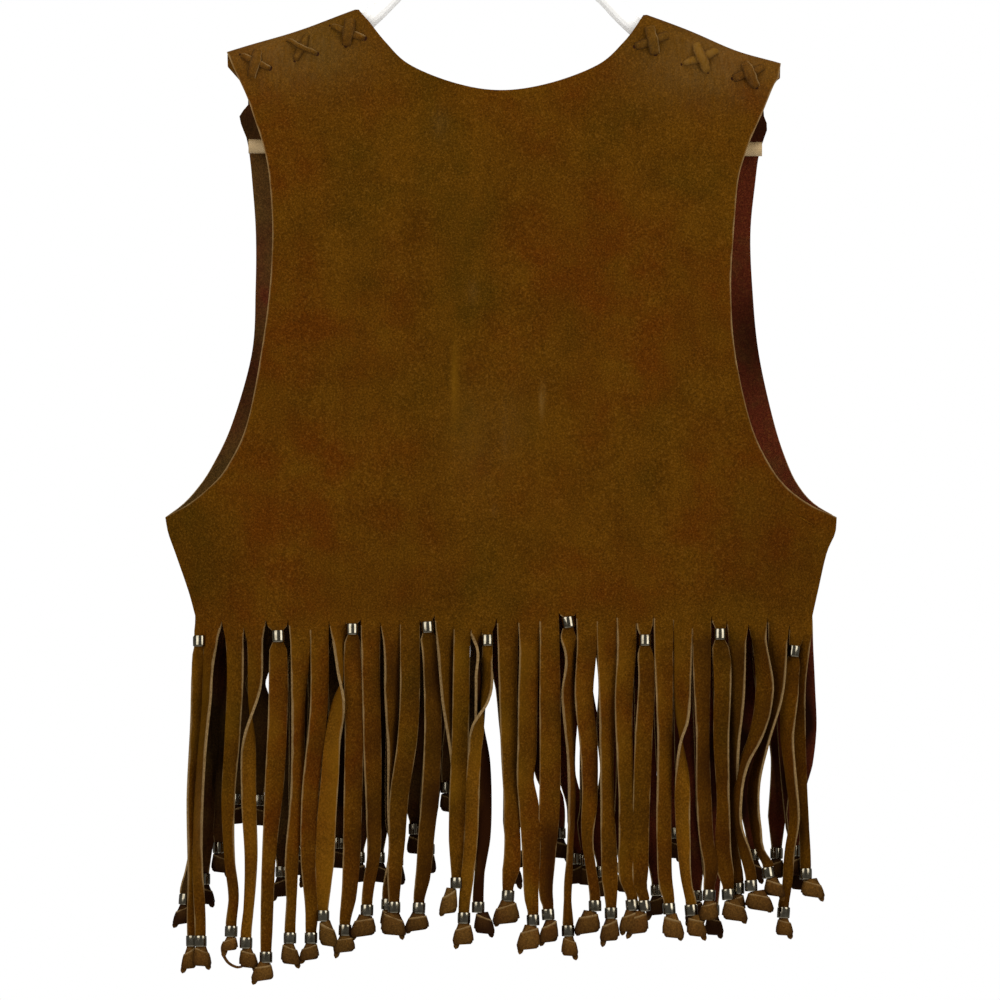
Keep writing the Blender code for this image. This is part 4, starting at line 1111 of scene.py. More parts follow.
RIGHT_FRONT_STRANDS = (
    FrontStrand(((30, -1, 14), (52, 3, 13), (73, 5.5, 14), (110, 8.5, 14)), 7.5, 171, 15),
    FrontStrand(((60, 14.5, 15), (85, 16, 15), (115, 16, 14)), 19.5, 157, -12),
    FrontStrand(((60, 28.5, 15), (85, 28.5, 15), (115, 32, 13.4)), 41, 153, 15),
    FrontStrand(((50, 44.5, 15), (72, 46.6, 14.5), (90, 46, 13), (112, 46.5, 12), (135, 52.5, 12)),
                53.5, 171, -15),
    FrontStrand(((50, 57, 14.8), (80, 62, 13.5), (105, 60.8, 10.5), (135, 60.8, 10.5)),
                59.5, 172, 15),
    FrontStrand(((50, 76, 14.8), (80, 74.5, 15), (110, 77, 15), (135, 73, 15), (160, 71, 14)),
                71, 180, -12),
    FrontStrand(((60, 87.5, 15), (110, 88.3, 15), (150, 86.5, 15)), 86, 177, 18),
    FrontStrand(((60, 101, 15), (110, 102, 15), (150, 106, 13)), 109.5, 193, -15),
    FrontStrand(((60, 114.5, 15), (110, 117, 15), (130, 119, 14)), 120, 153, 12),
    FrontStrand(((60, 128.5, 15), (110, 130, 15), (160, 135.5, 14)), 137, 197, -15),
    FrontStrand(((60, 142, 15), (110, 143.8, 15), (135, 144.5, 15), (170, 147, 12)), 149, 207, 10),
    FrontStrand(((60, 156.5, 15), (110, 158.5, 15)), 164, 171, -18),
    FrontStrand(((50, 173, 15), (80, 172.5, 15), (100, 173, 14.5), (130, 173.5, 12.5)),
                177, 168, 15),
    FrontStrand(((50, 186, 16), (75, 192, 12), (100, 194.5, 9.5)), 193.5, 167, -12),
    FrontStrand(((50, 199.5, 15.5), (110, 203, 14)), 208.5, 175, 15),
    FrontStrand(((50, 213, 15), (80, 214, 14.5), (105, 211.5, 14), (125, 207.5, 11)),
                206, 165, -15),
)
print("front strands:", len(LEFT_FRONT_STRANDS) + len(RIGHT_FRONT_STRANDS))

# %% Cut of a front
FRONT_ROWS = 80
FOLD_ROWS = 24
TAB_ROWS = 6


def front_cut(side, sign, opening, shoulder, strands):
    """Rows of flat points from hem to tab, columns from the outer edge to the front edge."""
    hem = SIDE[0].left if sign < 0 else SIDE[0].right
    count = len(strands) * STRAND_COLUMNS
    bottom = spaced([(sign * hem * MM, HEM), (opening * MM, HEM)], count)
    neck_x = sign * shoulder.neck_x * MM
    tip_x = sign * (shoulder.tip_x * MM - TAB_INSET)
    axis = [float(shoulder_line(np.array(x))) - CREST for x in (tip_x, neck_x)]
    armhole = edge_points(ARMHOLE, "front_" + side, sign) + [(tip_x, axis[0])]
    seam = smooth_curve(edge_points(SIDE, side, sign))
    outer = spaced(np.vstack([seam, smooth_curve(armhole)[1:]]), FRONT_ROWS)
    bend_x = opening * MM + FRONT_V_BEND_SHARE * (neck_x - opening * MM)
    v_neck = [(opening * MM, FRONT_V_POINT * MM), (bend_x, FRONT_V_BEND * MM), (neck_x, axis[1])]
    inner = spaced(np.vstack([[(opening * MM, HEM)], smooth_curve(v_neck)]), FRONT_ROWS)
    shoulder_row = spaced([outer[-1], inner[-1]], count)
    cut = fill_patch(bottom, shoulder_row, outer, inner)
    fold = TAB_RADIUS * math.pi
    rises = [fold * row / FOLD_ROWS for row in range(1, FOLD_ROWS + 1)]
    rises += [fold + TAB_LENGTH * row / TAB_ROWS for row in range(1, TAB_ROWS + 1)]
    tab_end = np.linspace(tip_x - sign * TAB_TAPER, neck_x, count + 1)
    lines = []
    for rise in rises:
        share = max(0.0, rise - fold) / TAB_LENGTH
        x = shoulder_row[:, 0] * (1 - share) + tab_end * share
        lines.append(np.column_stack([x, shoulder_line(x) - CREST + rise]))
    return np.concatenate([cut, np.array(lines)])


print("steps from hem to tab:", FRONT_ROWS + FOLD_ROWS + TAB_ROWS)

# %% Swells and marks of the fronts
# Painted shade on the fronts' inside: at the top of each armhole under the arm, down the armholes, and on
# strands that hang in the dark gaps behind the back's strands; the one mound above 0 is painted light on
# a strand beside a lit edge
FRONT_PAINTED_SHADE = (
    Mound(-180, -78, 34, 30, -0.75),
    Mound(182, -80, 34, 30, -0.85),
    Mound(178, -228, 28, 52, -0.8),
    Mound(-178, -248, 22, 52, -0.6),
    Mound(-207, -560, 4, 80, 0.35),
    Mound(148, -540, 8, 60, -0.5),
    Mound(170, -520, 9, 70, -0.5),
    Mound(-83, -545, 6, 60, -0.5),
    Mound(-113, -545, 6, 60, -0.45),
    Mound(214, -500, 10, 60, -0.5),
)
FRONT_SWELLS = (
    Mound(-120, -220, 45, 140, 1.5),
    Mound(-60, -320, 35, 100, -1.3),
    Mound(-165, -340, 30, 70, 1.2),
    Mound(95, -250, 40, 130, -1.4),
    Mound(60, -340, 30, 90, 1.4),
    Mound(160, -330, 35, 80, -1.2),
)
FRONT_SCUFFS = (
    Mound(-148, -40, 60, 36, 0.2),
    Mound(150, -46, 60, 36, 0.2),
    Mound(-62, -300, 5, 26, 0.15),
    Mound(70, -265, 4, 18, 0.15),
    Mound(118, -190, 4, 14, 0.1),
)
FRONT_OUTER_WARMTH = (
    Mound(-90, -220, 60, 80, 0.4),
    Mound(-150, -340, 50, 60, -0.4),
    Mound(100, -300, 60, 80, 0.45),
    Mound(70, -180, 40, 60, -0.4),
)
print("swells:", len(FRONT_SWELLS), "marks:", len(FRONT_PAINTED_SHADE + FRONT_SCUFFS + FRONT_OUTER_WARMTH))

# %% A front strand's course
# A front strand's turn in degrees, its tone, which is painted shade on its inside face where it hangs
# in the shadow of the back's strands, its last place before the bead, and its knot's width and height;
# lengths are in millimetres
FRONT_TURN = 13
FRONT_STRAND_SHADE = -0.55
FRONT_END = 26
FRONT_END_WIDTH = 12.5
FRONT_END_SHARE = 0.6
FRONT_LEAST_STEP = 5
FRONT_KNOT = (13.5, 14)


def front_course(strand, top_middle, top_width):
    """A front strand's row and its full course; neighbours overlap like shingles."""
    stations = [(drop, middle, width, FRONT_TURN) for drop, middle, width in strand.course]
    last = stations[-1]
    if strand.end_drop - FRONT_END > last[0] + FRONT_LEAST_STEP:
        middle = last[1] + FRONT_END_SHARE * (strand.end_x - last[1])
        stations.append((strand.end_drop - FRONT_END, middle, FRONT_END_WIDTH, FRONT_TURN))
    row = Strand(FRONT_STRAND_SHADE, stations, strand.end_x, strand.end_drop, Knot(0, *FRONT_KNOT, strand.lean))
    return row, full_course(row, top_middle, top_width, 0.0, None)


print("front strands are turned by", FRONT_TURN, "degrees")

# %% Build the fronts
FRONT_VARIETY = 0.16
VARIETY_STEP = 1.7
# Painted shade across each front strand's outer face, so that neighbours show apart
OUTER_SIDE_SHADE = 0.418
FRONT_WARMTH = {"left": -0.2, "right": 1.0}


def build_front(side, sign, opening, shoulder, strands):
    """One front with its strands: the object, its area, and each strand's row, course and depth."""
    order = strands if sign < 0 else tuple(reversed(strands))
    cut = front_cut(side, sign, opening, shoulder, strands)
    panel = place_front(cut[..., 0], cut[..., 1])
    panel[..., 1] += MM * bumps(cut[..., 0], cut[..., 1], FRONT_SWELLS)
    rows = []
    ends = []
    outer_tones = [np.zeros(panel[..., 0].size)]
    for number, strand in enumerate(order):
        first = number * STRAND_COLUMNS
        top_row = panel[0, first:first + STRAND_COLUMNS + 1]
        width = abs(top_row[-1, 0] - top_row[0, 0]) / MM
        row, course = front_course(strand, top_row[:, 0].mean() / MM, width)
        strand_rows = strand_points(course, top_row if sign < 0 else top_row[::-1], 1)
        if sign > 0:
            strand_rows = strand_rows[:, ::-1]
        rows.append((row.tone, strand_rows))
        ends.append((row, course, top_row[:, 1].mean()))
        variety = FRONT_VARIETY * math.sin(VARIETY_STEP * number ** 2)
        outer_tones.append(strand_tones(number, variety, len(strand_rows) - 1, OUTER_SIDE_SHADE))
    points, faces, values = join_strands(panel, np.full(panel.shape[:2], FAR_FROM_EDGE), rows)
    if sign < 0:
        faces = faces[:, ::-1]
    place = (points[:, 0], points[:, 2] - NECK_LEVEL)
    values["tone"] += bumps(*place, FRONT_PAINTED_SHADE)
    values["outer_tone"] = np.concatenate(outer_tones)
    values["outer_edge"] = values["edge"]
    values["edge"] = np.full(len(points), FAR_FROM_EDGE)
    values["scuff"] = bumps(*place, FRONT_SCUFFS)
    values["warmth"] = np.full(len(points), FRONT_WARMTH[side])
    values["outer_warmth"] = bumps(*place, FRONT_OUTER_WARMTH)
    area = sheet_area(points, faces)
    item = sheet_object("vest_front_" + side, points, faces, values, "suede_front_outside",
                        "suede_front_inside")
    print("front", side, "area:", round(area, 4), "m2, faces:", len(item.data.polygons))
    return item, area, ends


front_left, area_left, ends_left = build_front("left", -1, FRONT_OPENING_LEFT, SHOULDER_LEFT,
                                               LEFT_FRONT_STRANDS)
front_right, area_right, ends_right = build_front("right", 1, FRONT_OPENING_RIGHT, SHOULDER_RIGHT,
                                                  RIGHT_FRONT_STRANDS)

# %% [markdown]
# ## Beads
# The beads are short polished steel barrels, a little fuller in the middle, so each softbox shows as
# a bright bar on them. One is drawn up from a ring, thickened inwards, so the strand runs through a
# real hole, and rounded at its rims. A plain cylinder would be quicker, but its rims would be too sharp
# to catch the light. The others are copies of its mesh, each on its strand.

# %% Steel
Steel = namedtuple("Steel", "name bright dull smooth rough")
STEELS = (
    Steel("bead_steel", (0.275, 0.245, 0.18), (0.13, 0.108, 0.07), 0.05, 0.14),
    Steel("hook_steel", (0.27, 0.27, 0.26), (0.19, 0.19, 0.18), 0.18, 0.28),
)
WEAR_SCALE = 260.0


def make_steel(row):
    material, tree, shader = new_material(row.name)
    wear = noise(tree, object_place(tree), WEAR_SCALE, 5.0, 0.65)
    feed(tree, shader.inputs["Base Color"],
         mix_colour(tree, remap(tree, wear, 0.4, 0.7), (*row.bright, 1), (*row.dull, 1)))
    feed(tree, shader.inputs["Roughness"], remap(tree, wear, 0.3, 0.7, row.smooth, row.rough))
    shader.inputs["Metallic"].default_value = 1.0
    return material


steels = {row.name: make_steel(row) for row in STEELS}
print("steels:", sorted(steels))

# %% One bead
BEAD_RADIUS = 4.5 * MM
BEAD_HEIGHT = 7.8 * MM
BEAD_BULGE = 0.1 * MM
BEAD_WALL = 0.9 * MM
BEAD_RIM = 0.5 * MM
BEAD_SIDES = 24
BEAD_STEPS = 6
RIM_ANGLE = math.radians(40)


def barrel_radius(share):
    """Radius of the bead's wall at a share of its height: fullest in the middle."""
    return BEAD_RADIUS - BEAD_BULGE * (2 * share - 1) ** 2


def model_bead():
    """A ring of edge drawn up and resized step by step, then given its wall and rounded rims."""
    bpy.ops.object.select_all(action="DESELECT")
    bpy.ops.mesh.primitive_circle_add(vertices=BEAD_SIDES, radius=barrel_radius(0), location=(0, 0, 0))
    bead = bpy.context.object
    bpy.ops.object.mode_set(mode="EDIT")
    bpy.ops.mesh.select_all(action="SELECT")
    bpy.ops.transform.translate(value=(0, 0, -BEAD_HEIGHT / 2))
    for step in range(1, BEAD_STEPS + 1):
        rise = {"value": (0, 0, BEAD_HEIGHT / BEAD_STEPS)}
        grow = barrel_radius(step / BEAD_STEPS) / barrel_radius((step - 1) / BEAD_STEPS)
        bpy.ops.mesh.extrude_region_move(TRANSFORM_OT_translate=rise)
        bpy.ops.transform.resize(value=(grow, grow, 1))
    bpy.ops.mesh.select_all(action="SELECT")
    bpy.ops.mesh.normals_make_consistent(inside=False)
    bpy.ops.object.mode_set(mode="OBJECT")
    wall = bead.modifiers.new("wall", "SOLIDIFY")
    wall.thickness = BEAD_WALL
    wall.offset = -1.0
    bpy.ops.object.modifier_apply(modifier="wall")
    rim = bead.modifiers.new("rim", "BEVEL")
    rim.width = BEAD_RIM
    rim.segments = 2
    rim.limit_method = "ANGLE"
    rim.angle_limit = RIM_ANGLE
    bpy.ops.object.modifier_apply(modifier="rim")
    mesh = bead.data
    bpy.data.objects.remove(bead)
    return mesh


bead_mesh = model_bead()
print("bead faces:", len(bead_mesh.polygons))

# %% Beads on the strands
Placed = namedtuple("Placed", "x y z tilt size", defaults=(1.0,))
LEAN_REACH = 12.0
BEAD_LEAN = 0.6
BEAD_FORWARD = 1.0
BEAD_SMOOTH = math.radians(35)


def on_course(course, top_y, drop, facing):
    """Where the middle of a strand is at a drop, in metres, and how it leans there."""
    drops, middles, _, _, forwards = course
    x = float(smooth_read(drops, middles, np.array(drop)))
    above = float(smooth_read(drops, middles, np.array(drop - LEAN_REACH)))
    forward = float(smooth_read(drops, forwards, np.array(drop)))
    y = top_y + facing * MM * (forward + BEAD_FORWARD)
    lean = math.degrees(math.atan2(x - above, LEAN_REACH))
    return x * MM, y, NECK_LEVEL + HEM - drop * MM, lean


def join_copies(name, mesh, places, material):
    """Copies of one mesh in one object, each at its place and tilt."""
    count = len(mesh.vertices)
    points = np.zeros(count * 3)
    mesh.vertices.foreach_get("co", points)
    points = points.reshape(-1, 3)
    faces = [tuple(face.vertices) for face in mesh.polygons]
    all_points = []
    all_faces = []
    for number, place in enumerate(places):
        turn = np.array(Matrix.Rotation(math.radians(-place.tilt), 3, "Y"))
        all_points.append(place.size * points @ turn.T + np.array((place.x, place.y, place.z)))
        all_faces += [tuple(number * count + index for index in face) for face in faces]
    item = mesh_object(name, np.vstack(all_points), all_faces, [material], {})
    bpy.ops.object.shade_smooth_by_angle(angle=BEAD_SMOOTH)
    return item


def end_bead(course, top_y, end_drop, facing):
    x, y, z, lean = on_course(course, top_y, end_drop, facing)
    return Placed(x, y, z, BEAD_LEAN * lean)


back_ends = [(strand, course, top_y) for strand, (course, top_y) in zip(BACK_STRANDS, back_courses)]
back_bead_places = [end_bead(course, top_y, strand.end_drop, -1) for strand, course, top_y in back_ends]
for row in TOP_BEADS:
    course, top_y = back_courses[row.strand]
    x, y, z, _ = on_course(course, top_y, row.drop, -1)
    back_bead_places.append(Placed(x, y, z, row.tilt, row.size))
front_bead_places = [end_bead(course, top_y, strand.end_drop, 1)
                     for strand, course, top_y in ends_left + ends_right]
beads_back = join_copies("fringe_beads_back", bead_mesh, back_bead_places, steels["bead_steel"])
beads_front = join_copies("fringe_beads_front", bead_mesh, front_bead_places, steels["bead_steel"])
print("beads:", len(back_bead_places), "+", len(front_bead_places))

# %% [markdown]
# ## Knots
# Below each bead the strand is tied in a tight overhand knot. A flat thong pulls up into a bell: narrow
# under the bead, wide and blunt at its foot, with one turn wrapped round the outside and a short
# tail below. A thong could be led through the whole knot, but its inner turns don't show, so each knot
# is a bell, the wrapped turn on it and a tail, sized by its strand's row. One also has a longer tail
# that curves round in a loop.

# %% Bell of a knot
Ring = namedtuple("Ring", "share wide deep")
BELL = (Ring(0.0, 0.56, 0.70), Ring(0.15, 0.64, 0.85), Ring(0.35, 0.79, 0.97), Ring(0.55, 0.91, 1.0),
        Ring(0.78, 1.0, 0.95), Ring(0.93, 0.96, 0.80), Ring(1.0, 0.80, 0.55))
BELL_SIDES = 18
BELL_POWER = 2.7
# How many waves go round a bell, and how far they swell it
BELL_WAVES = ((2, 0.06), (3, 0.05))
PHASES = (0, 6)
KNOT_DEPTH = 10.0
# Painted shade on a knot: under its bead, towards its foot, and on the sides that turn away
FOOT_SHADE = 0.4
NECK_SHADE = 0.9
NECK_FALL = 2
KNOT_SIDE_SHADE = 0.55
SIDE_POWER = 4


def bell_size(share, width):
    """Half width and half depth of the bell at shares of its height."""
    shares = [ring.share for ring in BELL]
    wide = np.interp(share, shares, [ring.wide for ring in BELL]) * width / 2
    deep = np.interp(share, shares, [ring.deep for ring in BELL]) * KNOT_DEPTH / 2
    return wide, deep


def bell_ring(turn):
    """Shares of half width and half depth round the bell: flatter in front than an ellipse."""
    corners = np.abs(np.cos(turn)) ** BELL_POWER + np.abs(np.sin(turn)) ** BELL_POWER
    reach = corners ** (-1 / BELL_POWER)
    return reach * np.cos(turn), reach * np.sin(turn)


def bell(width, height, slant, draw):
    """The knot's body: its points, faces, materials, distances from a cut edge, and painted shade."""
    turn = np.linspace(0, 2 * np.pi, BELL_SIDES, endpoint=False)
    across, deep = bell_ring(turn)
    swell = np.ones(BELL_SIDES)
    for waves, reach in BELL_WAVES:
        swell += reach * np.sin(waves * turn + draw.uniform(*PHASES))
    points = []
    for ring in BELL:
        half_width, half_depth = bell_size(ring.share, width)
        x = half_width * across * swell
        z = -ring.share * height - slant * ring.share * x
        points.append(np.column_stack([x, half_depth * deep * swell, z]))
    faces = []
    for ring in range(len(BELL) - 1):
        for side in range(BELL_SIDES):
            one = ring * BELL_SIDES + side
            two = ring * BELL_SIDES + (side + 1) % BELL_SIDES
            faces.append((two, one, one + BELL_SIDES, two + BELL_SIDES))
    last = (len(BELL) - 1) * BELL_SIDES
    faces += [tuple(range(BELL_SIDES)), tuple(reversed(range(last, last + BELL_SIDES)))]
    points = np.vstack(points)
    ring_shade = [FOOT_SHADE * max(ring.share, NECK_SHADE - NECK_FALL * ring.share) ** 2 for ring in BELL]
    shade = -np.repeat(ring_shade, BELL_SIDES)
    shade -= KNOT_SIDE_SHADE * np.tile(np.abs(across) ** SIDE_POWER, len(BELL))
    return points, faces, [0] * len(faces), np.full(len(points), FAR_FROM_EDGE), shade


print("points in a bell:", len(BELL) * BELL_SIDES)

# %% Wrapped turn of a knot
# Rows down the turn: share of the bell's height, and distance from the turn's cut edge
TURN_ROWS = ((0.2, 0.0), (0.4, 2.4), (0.66, 6), (0.94, FAR_FROM_EDGE))
TURN_STEPS = 22
TURN_TILTS = (0.1, 0.2)
TURN_LIMITS = (0.03, 0.97)
TURN_PROUD = 0.8
TURN_THICK = 1.4


def wrapped_turn(width, height, slant, draw):
    """The turn of thong round the outside of the bell, between its two cut edges."""
    turn = np.linspace(0, 2 * np.pi, TURN_STEPS, endpoint=False)
    across, deep = bell_ring(turn)
    tilt = draw.uniform(*TURN_TILTS) * (1 if slant > 0 else -1)
    points = []
    edges = []
    shade = []
    for inner in (0, 1):
        for share, edge in reversed(TURN_ROWS) if inner else TURN_ROWS:
            place = np.clip(share + tilt * np.cos(turn), *TURN_LIMITS)
            half_width, half_depth = bell_size(place, width)
            out = TURN_PROUD - inner * TURN_THICK
            x = (half_width + out) * across
            z = -place * height - slant * place * x
            points.append(np.column_stack([x, (half_depth + out) * deep, z]))
            edges += [edge if not inner else FAR_FROM_EDGE] * TURN_STEPS
            # Painted shade: darker towards the foot and on the sides that turn away
            dark = -FOOT_SHADE * place ** 2 - KNOT_SIDE_SHADE * np.abs(across) ** SIDE_POWER
            shade += dark.tolist()
    faces = []
    kinds = []
    lines = len(points)
    for line in range(lines):
        for step in range(TURN_STEPS):
            after = (step + 1) % TURN_STEPS
            other = (line + 1) % lines
            faces.append((line * TURN_STEPS + step, other * TURN_STEPS + step,
                          other * TURN_STEPS + after, line * TURN_STEPS + after))
            kinds.append(1 if line == lines - 1 else 0)
    return np.vstack(points), faces, kinds, np.array(edges), np.array(shade)


print("points in a wrapped turn:", 2 * len(TURN_ROWS) * TURN_STEPS)

# %% Tails of a knot
TAIL_STEPS = 6
TAIL_HALF_THICK = 0.8
TAIL_HALF = 2.1
TAIL_BLUNT = 1.02
TAIL_HIDDEN = 0.5
TAIL_LENGTHS = (3.8, 6.0)
TAIL_LEAN = 0.6
TAIL_SPLAYS = (-6, 10)
TAIL_PLACE = 0.32
TAIL_LEVEL = 0.93
LOOP_HALVES = (1.3, 0.8)


def thong_strip(line, halves, outs):
    """A flat thong along a line of points: its half widths, how far out it lies, and closed ends."""
    line = np.asarray(line, float)
    along = np.gradient(line, axis=0)
    along = along / np.linalg.norm(along, axis=1, keepdims=True)
    points = []
    for (x, z), (run_x, run_z), half, out in zip(line, along, halves, outs):
        for side, face in ((-1, 1), (1, 1), (1, -1), (-1, -1)):
            shift = side * half
            points.append((x - shift * run_z, out + face * TAIL_HALF_THICK, z + shift * run_x))
    faces = []
    last = (len(line) - 1) * 4
    for first in range(0, last, 4):
        for corner in range(4):
            one = first + corner
            two = first + (corner + 1) % 4
            faces.append((one, two, two + 4, one + 4))
    faces += [(3, 2, 1, 0), (last, last + 1, last + 2, last + 3)]
    far = np.full(len(points), FAR_FROM_EDGE)
    # A tail carries half the foot's painted shade
    return np.array(points), faces, [0] * len(faces), far, np.full(len(points), -FOOT_SHADE / 2)


def tail(width, height, lean, draw):
    """The strand's last few millimetres, poking out under the bell."""
    side = math.copysign(1, lean)
    heading = math.radians(TAIL_LEAN * lean + side * draw.uniform(*TAIL_SPLAYS))
    length = draw.uniform(*TAIL_LENGTHS)
    steps = np.linspace(-TAIL_HIDDEN, 1, TAIL_STEPS + 1)
    line = np.column_stack([side * width * TAIL_PLACE + math.sin(heading) * steps * length,
                            -TAIL_LEVEL * height - math.cos(heading) * steps * length])
    halves = TAIL_HALF * np.sqrt(TAIL_BLUNT - np.maximum(0, steps) ** 3)
    return thong_strip(line, halves, -steps ** 2)


def loop_tail(rows):
    """A longer, thinner tail that curves back up beside its knot."""
    line = smooth_curve([(x, -below) for x, below in rows], TAIL_STEPS)
    return thong_strip(line, np.linspace(*LOOP_HALVES, len(line)), np.zeros(len(line)))


print("points in a tail:", 4 * (TAIL_STEPS + 1))

# %% Knots on the strands
KNOT_SEED = 11
KNOT_LEAN = 0.35
KNOT_SLANT = 0.012
KNOT_TONES = (-0.25, 0.15)
INNER_REACH = 4


def face_outwards():
    """Turns the faces of the selected object outwards."""
    bpy.ops.object.mode_set(mode="EDIT")
    bpy.ops.mesh.select_all(action="SELECT")
    bpy.ops.mesh.normals_make_consistent(inside=False)
    bpy.ops.object.mode_set(mode="OBJECT")


def build_knots(name, rows, facing, tone_share, inner_shade):
    """All the knots of one panel's fringe in one object, with painted shade on the sides facing inwards.
    """
    draw = random.Random(KNOT_SEED)
    points, faces, kinds, tones, edges = [], [], [], [], []
    count = 0
    for strand, course, top_y in rows:
        x, y, z, _ = on_course(course, top_y, strand.end_drop + BEAD_HALF, facing)
        knot = strand.knot
        lean = np.array(Matrix.Rotation(math.radians(-KNOT_LEAN * knot.lean), 3, "Y"))
        slant = KNOT_SLANT * knot.lean
        width = knot.width - 2 * TURN_PROUD
        parts = [bell(width, knot.height, slant, draw), wrapped_turn(width, knot.height, slant, draw),
                 tail(width, knot.height, knot.lean, draw)]
        if knot.loop:
            parts.append(loop_tail(knot.loop))
        tone = tone_share * strand.tone + draw.uniform(*KNOT_TONES)
        for shape, part_faces, part_kinds, part_edges, shade in parts:
            shade = shade - inner_shade * soft_step(0.5 + shape[:, 1] / INNER_REACH)
            shape = shape * np.array((1, -facing, 1))
            shift = np.array((x + knot.shift * MM, y, z))
            points.append(shape @ lean.T * MM + shift)
            faces += [tuple(count + index for index in face) for face in part_faces]
            kinds += part_kinds
            tones += (tone + shade).tolist()
            edges += part_edges.tolist()
            count += len(shape)
    item = mesh_object(name, np.vstack(points), faces, [suedes["suede_knot"], cut_edge],
                       {"tone": tones, "edge": edges})
    item.data.polygons.foreach_set("material_index", kinds)
    face_outwards()
    bpy.ops.object.shade_smooth_by_angle(angle=SMOOTH_ANGLE)
    print(name, "knots:", len(rows), "faces:", len(item.data.polygons))
    return item


knots_back = build_knots("fringe_knots_back", back_ends, -1, tone_share=0.5, inner_shade=0.0)
knots_front = build_knots("fringe_knots_front", ends_left + ends_right, 1, tone_share=0.0,
                          inner_shade=0.7)

# %% [markdown]
# ## Laced shoulders
# On each shoulder three crosses of suede thong hold the back to the front's tab. A thong comes up
# through a slit, lies across, and goes down through another, so each strip follows the shoulder's
# surface, stands proud in the middle and sinks at its ends into a slit, which is a dark sheet of
# painted shadow on the panel. A bevelled curve would make a strip too, but a grid of points can also
# narrow, waver and sink row by row.

# %% Table of crosses
# A thong has its two ends, its width at start, middle and end, its height where it crosses, the side
# with the pale edge (1 is to the right of a thong that runs down; the other side, or both where it is
# 0, gets painted shade) and the sizes of the dark holes at its two ends, which are painted shadow
Thong = namedtuple("Thong", "start_x start_level end_x end_level widths lift pale holes")
Cross = namedtuple("Cross", "node tone dust under over")
CROSSES = (
    Cross('lace_cross_left_1', 0.05, 0.18,
          Thong(-183.4, -30.8, -160.3, -41.3, (2.4, 4.0, 2.4), 0.5, 1, (0.7, 1.5)),
          Thong(-169.8, -26.6, -175.4, -48.3, (5.2, 6.6, 5.4), 1.2, 1, (0, 0))),
    Cross('lace_cross_left_2', 0.12, 0.18,
          Thong(-134.4, -15.1, -144.9, -36.4, (2.0, 5.4, 2.6), 0.6, 0, (0, 0.8)),
          Thong(-151.9, -20.0, -127.4, -31.2, (1.6, 2.6, 2.6), 1.8, 1, (0, 1.3))),
    Cross('lace_cross_left_3', 0.05, 0.15,
          Thong(-120.4, -10.5, -93.8, -20.3, (2.0, 4.6, 3.4), 0.5, 1, (0.7, 1.4)),
          Thong(-105.0, -4.2, -108.9, -26.3, (6.4, 7.6, 5.2), 1.6, 0, (0, 1.1))),
    Cross('lace_cross_right_1', 0.05, 0.18,
          Thong(92.4, -25.9, 119.0, -16.5, (4.5, 6.2, 4.5), 0.6, 0, (1.0, 0)),
          Thong(103.6, -9.8, 108.5, -32.2, (6.2, 7.0, 6.4), 1.8, 1, (0, 1.1))),
    Cross('lace_cross_right_2', 0.62, 0.34,
          Thong(125.7, -38.2, 153.7, -27.7, (2.2, 6.0, 3.8), 0.8, 0, (0.8, 0)),
          Thong(135.8, -21.7, 145.3, -44.5, (5.2, 6.6, 5.4), 2.2, 0, (0, 0.6))),
    Cross('lace_cross_right_3', 0.0, 0.18,
          Thong(161.0, -48.3, 186.2, -39.2, (5.0, 5.5, 3.2), 0.5, 0, (1.1, 0)),
          Thong(169.4, -35.0, 179.6, -55.3, (4.0, 7.4, 4.4), 1.7, 1, (0, 0.9))),
)
print("crosses in the table:", len(CROSSES))

# %% A thong on the shoulder
THONG_ROWS = 28
THONG_COLUMNS = 8
THONG_BULGE = 0.9
THONG_POINT = 0.4
THONG_TAPER = 0.16
THONG_RISE = 0.3
THONG_PROUD = 0.5
# How far a thong's edges waver, and how often
THONG_WAVES = ((0.3, 9), (0.2, 23))
CROSSING_LENGTH = 0.8
CROSSING_FROM = 0.2
SLIT_SINK = 1.8
SIDE_SHADE = 0.9
HOLE_SHADE = 0.9
HOLE_REACH = 0.14
PALE_FROM = 0.35


def surface_out(x, height):
    """The direction out of the back panel at flat places."""
    step = 1.0 * MM
    across = place_back(x + step, height) - place_back(x - step, height)
    upward = place_back(x, height + step) - place_back(x, height - step)
    out = np.cross(across, upward)
    return out / np.linalg.norm(out, axis=-1, keepdims=True)


